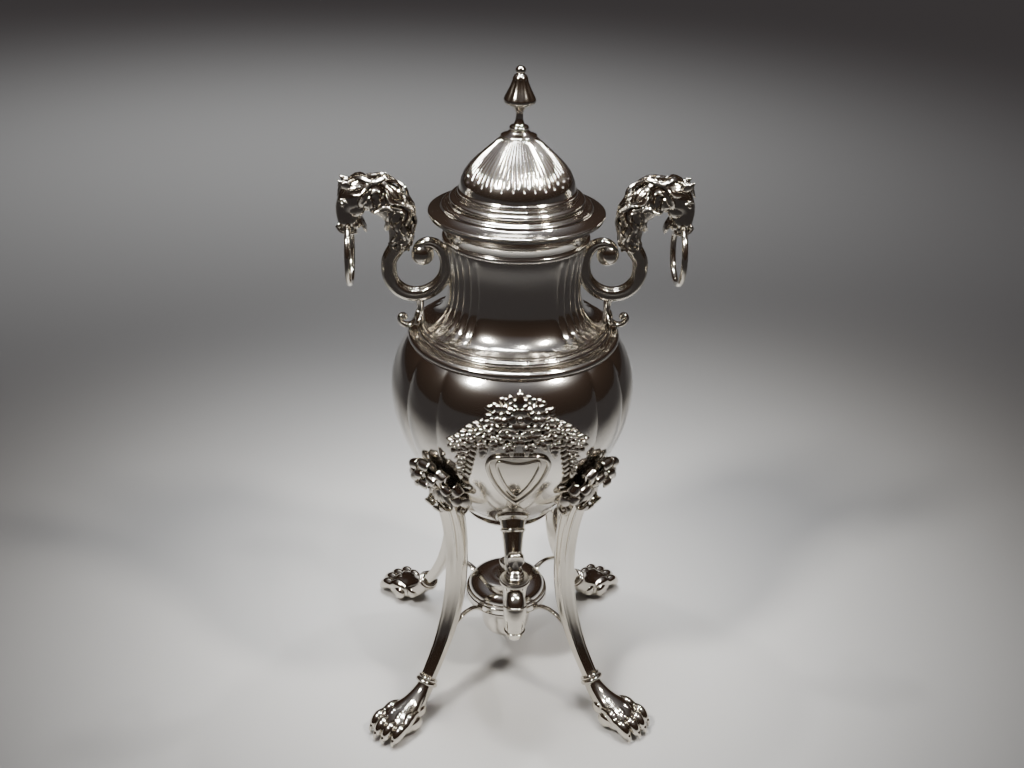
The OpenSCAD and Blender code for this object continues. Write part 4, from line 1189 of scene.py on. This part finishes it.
def make_burner():
    """Ring, lamp bowl and cover darkened all over, wick sleeve, wick and snuffer: all turned, from eased
    outlines.
    """
    low, high = LAMP_RING_LOW, LAMP_RING_Z
    inner = LAMP_RING_R - 2.8
    single("burner_ring", "lamp_ring", "raised_silver",
           turned(eased([(inner, low), (LAMP_RING_R - 0.6, low), (LAMP_RING_R, low + 0.8),
                           (LAMP_RING_R - 0.5, low + 1.6), (LAMP_RING_R - 0.5, high - 1.6),
                           (LAMP_RING_R, high - 0.8),
                           (LAMP_RING_R - 0.6, high), (inner, high)], 0.35), 144), closed=True)

    bowl = np.vstack([
        [(0, LAMP_LOW), (9, LAMP_LOW), (10.4, LAMP_LOW + 0.5), (10.6, LAMP_LOW + 1.6)],
        bezier((11.4, LAMP_LOW + 2.2), (16.4, LAMP_LOW + 3.4), (17.3, LAMP_LOW + 11), (17.0, high - 16), 16),
        [(17.8, high - 15.4), (17.8, high - 14.4)],
        bezier((18.2, high - 13.8), (LAMP_R - 1, high - 12.4), (LAMP_R, high - 9), (LAMP_R, high - 4), 16),
        [(LAMP_R, high + 0.1), (LAMP_R + 2.6, high + 0.1), (LAMP_R + 2.6, COVER_Z), (LAMP_R - 1.4, COVER_Z)]])
    inside = np.vstack([[(LAMP_R - 1.4, high - 8)], bezier((LAMP_R - 1.8, high - 10), (LAMP_R - 4, high - 12),
                        (16, high - 13), (15.5, high - 16), 10), [(15.5, LAMP_LOW + 8), (11, LAMP_LOW + 2.4),
                                                                 (0, LAMP_LOW + 1.4)]])
    single("lamp_cup", "lamp_bowl", "raised_silver",
           turned(eased(np.vstack([bowl, inside]), 0.3, 3, closed=False), 144), 0.4)

    hole = WICK_R + 1.0
    dome = bezier((LAMP_R + 1.2, COVER_Z), (LAMP_R + 1.6, COVER_Z + 6.5), (LAMP_R - 7, COVER_TOP - 0.6),
                  (hole + 6, COVER_TOP - 1.4), 26)
    outline = np.vstack([dome,
                         [(hole + 4.6, COVER_TOP - 1.2), (hole + 4.0, COVER_TOP - 0.1), (hole, COVER_TOP),
                                (hole, COVER_TOP - 2.0)], inset(dome, 1.2)[::-1]])
    single("lamp_dome", "lamp_cover", "raised_silver", turned(outline, 144), 0.4, closed=True, sharp=45)

    tube_low, tube_high = (corner[2] for corner in span("wick_tube"))
    single("wick_sleeve", "wick_tube", "cast_silver",
           turned(eased([(WICK_R, tube_low), (hole, tube_low), (hole, COVER_TOP), (hole + 2, COVER_TOP),
                           (hole + 2, COVER_TOP + 1), (hole, COVER_TOP + 1), (hole, tube_high),
                           (WICK_R, tube_high)],
                          0.25), 72), closed=True)

    z = np.linspace(WICK_LOW, WICK_TOP, 60)
    outline = np.stack([np.full(60, WICK_R - 0.25), z], 1)
    twist = turned(outline, 48, lambda angle, height: 0.22 * np.abs(np.sin(3 * angle + 0.35 * height)))
    single("wick_cord", "wick", "cotton_wick", twist, sharp=80)

    low = SNUFFER_LOW
    tall = SNUFFER_TOP - low
    outline = np.vstack([
        [(WICK_R + 1.4, low), (WICK_R + 2.8, low), (WICK_R + 2.5, low + 1.5), (WICK_R + 2.4, low + 7.6)],
        bezier((WICK_R + 2.2, low + 8.4), (WICK_R + 0.6, low + 10), (1.6, low + 10.2), (1.1, low + 11.6), 10),
        arc((0, low + tall - 2.1), (2.1, 2.1), -55, 90, 12)])
    inside = [(0, low + 9), (WICK_R + 1.4, low + 7.2)]
    work = Work()
    ring = np.vstack([eased(outline, 0.25, 3, closed=False), inside])
    work.add(turned(ring, 72), 0.05, closed=True)
    work.make("snuffer", "snuffer_cap", "cast_silver", sharp=50)


def make_bracket(corner, turn):
    """A thin curved arm from the lamp's ring up over a crest and down to the leg."""
    leg = leg_line()
    end_z = LAMP_RING_Z - 9
    end_s = np.interp(end_z, leg[:, 2], leg[:, 0]) - 3.6
    path = bezier((LAMP_RING_R - 0.4, 0, LAMP_RING_Z - 4), (LAMP_RING_R + 8, 0, LAMP_RING_Z + 3),
                  (end_s - 10, 0, LAMP_RING_Z + 1), (end_s + 1, 0, end_z), 36)
    grid = swept(path, spread([1.6, 1.2, 1.2, 1.6], 36), spread([2.6, 1.8, 1.8, 2.7], 36), 16, square=0.8)
    single("bracket_" + corner, "lamp_bracket_" + corner, "cast_silver", around(grid, turn), 0.1, sharp=50)


# ---- lid ----


def make_lid():
    """Stepped brim, half-round ring, conical dome with pointed flutes, flat button and a bud on a stem."""
    z = RIM_Z
    brim = np.vstack([
        [(LID_R - 5, z), (LID_R - 0.9, z), (LID_R, z + 0.7), (LID_R - 0.3, z + 1.4)],
        bezier((LID_R - 0.8, z + 1.7), (LID_R - 3, z + 2.0), (LID_R - 5.5, z + 2.6), (LID_R - 7.6, z + 3.6),
               10),
        [(LID_R - 8.0, z + 4.4)],
        arc((LID_R - 9.4, z + 4.6), (1.4, 1.3), 10, 150, 10),
        [(LID_R - 11.4, z + 5.4), (LID_R - 12.4, z + 6.0), (LID_R - 12.6, LID_RING_Z),
         (DOME_R + 1.4, LID_RING_Z), (DOME_R + 1.4, LID_RING_Z - 1.4), (LID_R - 11, z + 4.6),
         (LID_R - 8, z + 1.4)]])
    single("lid_brim", "lid_flange", "raised_silver", turned(eased(brim, 0.3, 3), 288), closed=True)

    z = LID_RING_Z
    ring = np.vstack([
        [(DOME_R + 1.4, z)],
        arc((DOME_R + 1.6, z + 1.9), (2.8, 1.8), -80, 80, 16),
        [(DOME_R + 0.6, z + 3.7), (DOME_R + 0.3, z + 4.1)],
        arc((DOME_R + 0.2, z + 4.6), (0.7, 0.4), -70, 80, 6),
        [(DOME_R - 1.2, z + 5.0), (DOME_R - 1.6, z + 4.2), (DOME_R - 0.4, z + 2.4)]])
    single("lid_torus", "lid_ring", "raised_silver", turned(ring, 288), closed=True, sharp=55)
    make_dome()
    make_finial()


def dome_flutes(angle, z):
    """Pointed flutes: a groove is a V as deep as it is wide, and every other one starts higher."""
    look = bpy.context.scene.urn_lid
    height = (z - DOME_Z) / (CAP_Z - DOME_Z)
    place = angle * look.flutes / (2 * np.pi)
    late = np.floor(place) % 2
    across = np.abs((place % 1) - 0.5) * 2
    start = 0.27 + 0.07 * late
    breadth = (0.25 + 0.4 * np.clip((height - start) / 0.5, 0, 1)) * step(start, start + 0.05, height)
    breadth = breadth * (1 - step(0.93, 0.985, height)) + 1e-6
    narrow = np.clip((CAP_Z + 9 - z) / 24, 0.4, 1)
    groove = np.clip(1 - across / breadth, 0, 1) * np.minimum(1, breadth / 0.3)
    return -1.2 * look.flute_depth / MM * narrow * groove


def make_dome():
    look = bpy.context.scene.urn_lid
    tall = CAP_Z - DOME_Z
    line = np.vstack([
        [(DOME_R - 0.5, DOME_Z)],
        arc((DOME_R - 1.2, DOME_Z + 1.5), (1.0, 1.2), -60, 80, 8),
        [(DOME_R - 1.4, DOME_Z + 3.0)],
        bezier((DOME_R - 1.4, DOME_Z + 3.6), (DOME_R - 1.5, DOME_Z + 0.13 * tall),
               (DOME_R - 1.6, DOME_Z + 0.16 * tall),
               (DOME_R - 1.9, DOME_Z + 0.2 * tall), 8),
        bezier((DOME_R - 1.9, DOME_Z + 0.2 * tall), (DOME_R - 4.4, DOME_Z + 0.48 * tall),
               (0.6 * DOME_R, DOME_Z + 0.68 * tall), (CAP_R - 1, CAP_Z), 44)[1:]])
    outer = even(line, 76)
    inner = even(inset(line, 1.3), 16)[::-1]
    rows = np.vstack([outer, inner])
    outside = (np.arange(len(rows)) < len(outer))[:, None]
    columns = look.flutes * 10
    grid = turned(rows, columns, lambda angle, z: dome_flutes(angle, z) * outside)
    angle = circle(columns)[None]
    # painted shade: the flutes' grooves are darkened
    dark = np.clip(-dome_flutes(angle, rows[:, 1:]) * MM / look.flute_depth * 2.0, 0, 1) * outside
    single("lid_gadroons", "lid_dome", "raised_silver", grid, dark, closed=True, sharp=70)


def make_finial():
    z = CAP_Z
    button = [(0, z), (CAP_R - 0.6, z), (CAP_R - 0.2, z + 0.5), (CAP_R - 1.2, z + 1.0),
              (CAP_R - 3.6, z + 1.9),
              (6.6, FINIAL_Z - 0.5), (6.0, FINIAL_Z), (0, FINIAL_Z)]
    single("lid_button", "lid_cap", "raised_silver", turned(eased(button, 0.4, 4, closed=False), 144))

    z = FINIAL_Z
    stem = np.vstack([
        [(0, CAP_Z - 8), (2, CAP_Z - 8), (2, z), (5.8, z)],
        arc((4.4, z + 1.6), (1.4, 1.6), -60, 85, 12),
        [(3.6, z + 3.4)],
        bezier((3.3, z + 3.8), (2.4, z + 5.4), (2.0, z + 7), (2.1, BUD_Z - 3.6), 12),
        [(2.5, BUD_Z - 3.0), (2.6, BUD_Z - 2.2), (3.2, BUD_Z - 1.6), (5.0, BUD_Z), (0, BUD_Z)]])
    single("finial_baluster", "finial_stem", "cast_silver",
           turned(eased(stem, 0.25, 3, closed=False), 96), 0.08)

    z = BUD_Z
    bud = np.vstack([
        [(0, z), (5.0, z)],
        bezier((5.4, z + 0.3), (8.6, z + 1.2), (9.7, z + 2.6), (9.4, z + 4.2), 14),
        bezier((9.4, z + 4.2), (8.6, z + 6.6), (5.4, z + 11.0), (4.3, TIP_Z - 6.6), 20)[1:],
        [(3.4, TIP_Z - 5.2), (2.5, TIP_Z - 4.8)],
        arc((0, TIP_Z - 2.5), (3.0, 2.5), -40, 90, 14)])

    def lobes(angle, height):
        share = (height - z) / (TIP_Z - z)
        fade = step(0.05, 0.25, share) * (1 - step(0.6, 0.75, share))
        return -0.5 * fade * np.abs(np.cos(4 * angle)) ** 5

    single("finial_acorn", "finial_bud", "cast_silver", turned(bud, 128, lobes), 0.05, sharp=55)


# ---- settings ----


class UrnBodySettings(bpy.types.PropertyGroup):
    panel_depth: bpy.props.FloatProperty(
        name="Panel depth", description="How far the creases between the belly's panels lie in",
        default=1.9 * MM, min=0, max=4 * MM, unit="LENGTH")
    corner_start: bpy.props.FloatProperty(
        name="Corner start",
        description="Angle from the front to the near edge of a corner panel, in degrees",
        default=40, min=30, max=50)
    corner_end: bpy.props.FloatProperty(
        name="Corner end", description="Angle from the front to the far edge of a corner panel, in degrees",
        default=62, min=52, max=75)
    reeds: bpy.props.IntProperty(
        name="Reeds", description="Reeds on the neck between the front panel and the side", default=4,
        min=1, max=8)
    reed_start: bpy.props.FloatProperty(
        name="Reed start", description="Angle from the front to the first reed, in degrees", default=37,
        min=20, max=50)
    reed_end: bpy.props.FloatProperty(
        name="Reed end", description="Angle from the front to the end of the last reed, in degrees",
        default=72, min=55, max=85)
    reed_depth: bpy.props.FloatProperty(
        name="Reed depth", description="Depth of the creases between the reeds",
        default=1.25 * MM, min=0, max=3 * MM, unit="LENGTH")


class UrnOrnamentSettings(bpy.types.PropertyGroup):
    relief: bpy.props.FloatProperty(
        name="Relief", description="How far the flowers stand proud of the belly",
        default=3.0 * MM, min=1 * MM, max=6 * MM, unit="LENGTH")
    petals: bpy.props.IntProperty(name="Petals", description="Petals of a flower", default=6, min=4, max=9)


class UrnFeetSettings(bpy.types.PropertyGroup):
    toes: bpy.props.IntProperty(name="Toes", description="Toes on a paw", default=4, min=3, max=5)


class UrnHandleSettings(bpy.types.PropertyGroup):
    lock_rows: bpy.props.IntProperty(name="Rows of hair", description="Rows of locks on the mane",
                                     default=9, min=3, max=16)
    lock_length: bpy.props.FloatProperty(
        name="Lock length", description="Length of a lock as a share of the neck and head", default=0.13,
        min=0.05,
        max=0.3, subtype="FACTOR")


class UrnLidSettings(bpy.types.PropertyGroup):
    flutes: bpy.props.IntProperty(name="Flutes", description="Flutes round the dome", default=64, min=24,
                                  max=96)
    flute_depth: bpy.props.FloatProperty(
        name="Flute depth", description="Depth of the flutes where the dome is widest",
        default=1.0 * MM, min=0, max=2 * MM, unit="LENGTH")


class UrnFinishSettings(bpy.types.PropertyGroup):
    silver_colour: bpy.props.FloatVectorProperty(
        name="Silver", description="Colour of clean silver", default=(0.86, 0.82, 0.75), min=0, max=1,
        subtype="COLOR")
    # the dark brown the silver is mixed towards: tarnish where polish has not reached, and painted shade in
    # creases, grooves and under raised work
    tarnish_and_shade_tint: bpy.props.FloatVectorProperty(
        name="Tarnish", description="Colour where polish has not reached", default=(0.10, 0.075, 0.05),
        min=0, max=1, subtype="COLOR")
    wick_colour: bpy.props.FloatVectorProperty(
        name="Wick", description="Colour of the cotton", default=(0.78, 0.72, 0.58), min=0, max=1,
        subtype="COLOR")
    polish: bpy.props.FloatProperty(
        name="Roughness", description="Roughness of the brightest silver", default=0.1, min=0, max=1,
        subtype="FACTOR")


class UrnStageSettings(bpy.types.PropertyGroup):
    floor_colour: bpy.props.FloatVectorProperty(
        name="Floor", description="Colour of the floor", default=(0.40, 0.395, 0.385), min=0, max=1,
        subtype="COLOR")
    key_power: bpy.props.FloatProperty(
        name="Key light", description="Power of the small softbox on the left, in watts", default=0.9,
        min=0, unit="POWER")
    top_power: bpy.props.FloatProperty(
        name="Top light", description="Power of the softbox overhead, in watts", default=1.6, min=0,
        unit="POWER")
    back_power: bpy.props.FloatProperty(
        name="Back light", description="Power of the light over the floor behind, in watts", default=5, min=0,
        unit="POWER")
    camera_azimuth: bpy.props.FloatProperty(
        name="Camera azimuth", description="Degrees round from the front, towards +X", default=-3.9)
    camera_elevation: bpy.props.FloatProperty(
        name="Camera elevation", description="Degrees above the horizon", default=27.16)
    camera_roll: bpy.props.FloatProperty(name="Camera roll", description="Degrees of tilt", default=1.6)
    camera_distance: bpy.props.FloatProperty(
        name="Camera distance", description="Distance from the middle of the urn", default=0.743,
        unit="LENGTH")
    camera_lens: bpy.props.FloatProperty(name="Lens", description="Focal length", default=40.7, unit="CAMERA")


# ---- operators ----


class URN_OT_body(bpy.types.Operator):
    """Raise the belly, its base and mouldings, the neck and the rim"""
    bl_idname = "urn.body"
    bl_label = "Body"

    def execute(self, context):
        make_belly()
        make_base()
        make_shoulder()
        make_neck()
        make_rim()
        return {"FINISHED"}


class URN_OT_ornament(bpy.types.Operator):
    """Chase the shield, the flower spray and the festoons"""
    bl_idname = "urn.ornament"
    bl_label = "Ornament"

    def execute(self, context):
        make_shield()
        make_flowers()
        for side, sign in SIDES.items():
            make_festoon(side, sign)
        return {"FINISHED"}


class URN_OT_feet(bpy.types.Operator):
    """Cast the four legs with their leaves, paws and lamp brackets"""
    bl_idname = "urn.feet"
    bl_label = "Legs and Feet"

    def execute(self, context):
        for corner, turn in CORNERS.items():
            make_leg(corner, turn)
            make_acanthus(corner, turn)
            make_paw(corner, turn)
            make_bracket(corner, turn)
        return {"FINISHED"}


class URN_OT_handles(bpy.types.Operator):
    """Cast the two handles and hang their rings"""
    bl_idname = "urn.handles"
    bl_label = "Handles"

    def execute(self, context):
        for side, sign in SIDES.items():
            make_scroll(side, sign)
            make_handle_leaf(side, sign)
            make_head(side, sign)
            make_ring(side, sign)
        return {"FINISHED"}


class URN_OT_tap(bpy.types.Operator):
    """Make the tap's rose, pipe, barrel, spout and plug"""
    bl_idname = "urn.tap"
    bl_label = "Tap"

    def execute(self, context):
        make_tap()
        return {"FINISHED"}


class URN_OT_burner(bpy.types.Operator):
    """Make the burner's ring, lamp, wick and snuffer"""
    bl_idname = "urn.burner"
    bl_label = "Burner"

    def execute(self, context):
        make_burner()
        return {"FINISHED"}


class URN_OT_lid(bpy.types.Operator):
    """Raise the lid and its finial"""
    bl_idname = "urn.lid"
    bl_label = "Lid"

    def execute(self, context):
        make_lid()
        return {"FINISHED"}


class URN_OT_hidden_parts(bpy.types.Operator):
    """Give the CAD pieces that stay their finish"""
    bl_idname = "urn.hidden_parts"
    bl_label = "Inner Parts"

    def execute(self, context):
        slots = {"strainer": "cast_silver", "tap_nut": "cast_silver", "finial_nut": "cast_silver",
                 "lid_bezel": "raised_silver"}
        for node, slot in slots.items():
            mesh = frame["nodes"][node].data
            mesh.materials.clear()
            mesh.materials.append(finish(slot))
        return {"FINISHED"}


class URN_OT_stage(bpy.types.Operator):
    """Set the floor, the lights, the sky and the camera"""
    bl_idname = "urn.stage"
    bl_label = "Stage"

    def execute(self, context):
        look = context.scene.urn_stage
        lay_floor(look)
        light(look)
        place_camera(look)
        return {"FINISHED"}


def lay_floor(look):
    g = Graph(bpy.data.materials.new("floor_paper"))
    place = g.node("TexCoord", {}, {}, output=3)
    grain = g.noise(place, 900.0, 3.0)
    tone = tuple(look.floor_colour)
    base = g.mix(grain, (*tone, 1), (*(0.96 * channel for channel in tone), 1))
    shader = g.node("BsdfPrincipled", {}, {"Base Color": base, "Roughness": 0.7})
    g.node("OutputMaterial", {}, {"Surface": shader})
    mesh = bpy.data.meshes.new("floor")
    mesh.from_pydata([(x * FLOOR_REACH, y * FLOOR_REACH, 0) for x, y in ((-1, -1), (1, -1), (1, 1), (-1, 1))],
                     [], [(0, 1, 2, 3)])
    mesh.materials.append(g.owner)
    floor = bpy.data.objects.new("floor", mesh)
    bpy.context.scene.collection.objects.link(floor)


def softbox(name, place, target, size, power, colour, opening):
    """A rectangular light at a place, turned to a target, that shines into a cone of so many degrees."""
    lamp = bpy.data.lights.new(name, "AREA")
    lamp.shape = "RECTANGLE"
    lamp.size, lamp.size_y = size
    lamp.energy = power
    lamp.color = colour
    lamp.spread = math.radians(opening)
    made = bpy.data.objects.new(name, lamp)
    aim = Vector(target) - Vector(place)
    made.matrix_world = Matrix.Translation(place) @ aim.to_track_quat("-Z", "Y").to_matrix().to_4x4()
    bpy.context.scene.collection.objects.link(made)


def light(look):
    """Softboxes hung close, so that the floor falls off into the dark, one far back for the floor behind,
    and a sky that is dark and warm near the horizon and paler above."""
    middle = (0, 0, 0.2)
    narrow = 34
    softbox("top", (-0.05, 0.1, 1.05), (0, 0.1, 0), (0.42, 0.3), look.top_power, (0.95, 0.97, 1.0), 48)
    softbox("key", (-0.5, -0.4, 1.0), middle, (0.12, 0.18), look.key_power, (1.0, 0.97, 0.92), narrow)
    softbox("fill", (0.45, -0.3, 0.95), middle, (0.08, 0.12), 0.5 * look.key_power, (1.0, 0.95, 0.88), narrow)
    for k, (x, y) in enumerate(((-0.3, 0.1), (0.12, -0.3), (0.3, 0.18))):
        softbox("spot_%d" % k, (x, y, 1.1), middle, (0.03, 0.03), 0.16 * look.key_power, (1.0, 0.98, 0.95),
                narrow)
    softbox("floor_behind", (-0.2, 1.3, 1.6), (-0.2, 1.35, 0), (1.2, 0.6), look.back_power,
            (0.96, 0.98, 1.0), 84)
    g = Graph(bpy.data.worlds.new("sky"))
    upwards = g.node("SeparateXYZ", {}, {0: g.node("TexCoord", {}, {})}, output=2)
    stops = [(0.0, (0.026, 0.018, 0.014, 1)), (0.55, (0.045, 0.028, 0.020, 1)), (0.95, (0.20, 0.20, 0.22, 1))]
    colour = g.node("ValToRGB", {"stops": stops}, {0: upwards})
    g.node("OutputWorld", {}, {"Surface": g.node("Background", {}, {"Color": colour})})
    bpy.context.scene.world = g.owner


def place_camera(look):
    """The camera stands back from the middle of the urn along its azimuth and elevation, and is rolled."""
    a, e = math.radians(look.camera_azimuth), math.radians(look.camera_elevation)
    back = Vector((math.sin(a) * math.cos(e), -math.cos(a) * math.cos(e), math.sin(e)))
    right = Vector((math.cos(a), math.sin(a), 0))
    up = back.cross(right)
    roll = math.radians(look.camera_roll)
    right, up = right * math.cos(roll) + up * math.sin(roll), up * math.cos(roll) - right * math.sin(roll)
    target = Vector((0, 0, (CAD_BOX[0].z + CAD_BOX[1].z) / 2 + AIM_RISE))
    camera = bpy.data.objects.new("camera", bpy.data.cameras.new("camera"))
    camera.data.lens = look.camera_lens
    camera.data.clip_start = 0.02
    turn = Matrix((right, up, back)).transposed().to_4x4()
    camera.matrix_world = Matrix.Translation(target + back * look.camera_distance) @ turn
    bpy.context.scene.collection.objects.link(camera)
    bpy.context.scene.camera = camera


class URN_PT_panel(bpy.types.Panel):
    """Buttons for the urn's pieces, in the order in which they are made"""
    bl_label = "Coffee Urn"
    bl_idname = "URN_PT_panel"
    bl_space_type = "VIEW_3D"
    bl_region_type = "UI"
    bl_category = "Coffee Urn"

    def draw(self, context):
        for operator in OPERATORS:
            self.layout.operator(operator.bl_idname)
        for group in SETTINGS:
            box = self.layout.box()
            for name in SETTINGS[group].__annotations__:
                box.prop(getattr(context.scene, group), name)


SETTINGS = {
    "urn_body": UrnBodySettings,
    "urn_ornament": UrnOrnamentSettings,
    "urn_feet": UrnFeetSettings,
    "urn_handles": UrnHandleSettings,
    "urn_lid": UrnLidSettings,
    "urn_finish": UrnFinishSettings,
    "urn_stage": UrnStageSettings,
}
OPERATORS = (URN_OT_body, URN_OT_ornament, URN_OT_feet, URN_OT_handles, URN_OT_tap, URN_OT_burner, URN_OT_lid,
             URN_OT_hidden_parts, URN_OT_stage)


def register():
    for name, group in SETTINGS.items():
        bpy.utils.register_class(group)
        setattr(bpy.types.Scene, name, bpy.props.PointerProperty(type=group))
    for operator in OPERATORS:
        bpy.utils.register_class(operator)
    bpy.utils.register_class(URN_PT_panel)


def unregister():
    bpy.utils.unregister_class(URN_PT_panel)
    for operator in reversed(OPERATORS):
        bpy.utils.unregister_class(operator)
    for name, group in SETTINGS.items():
        delattr(bpy.types.Scene, name)
        bpy.utils.unregister_class(group)


def main():
    register()
    for operator in OPERATORS:
        group, name = operator.bl_idname.split(".")
        getattr(getattr(bpy.ops, group), name)()


if __name__ == "__main__":
    main()
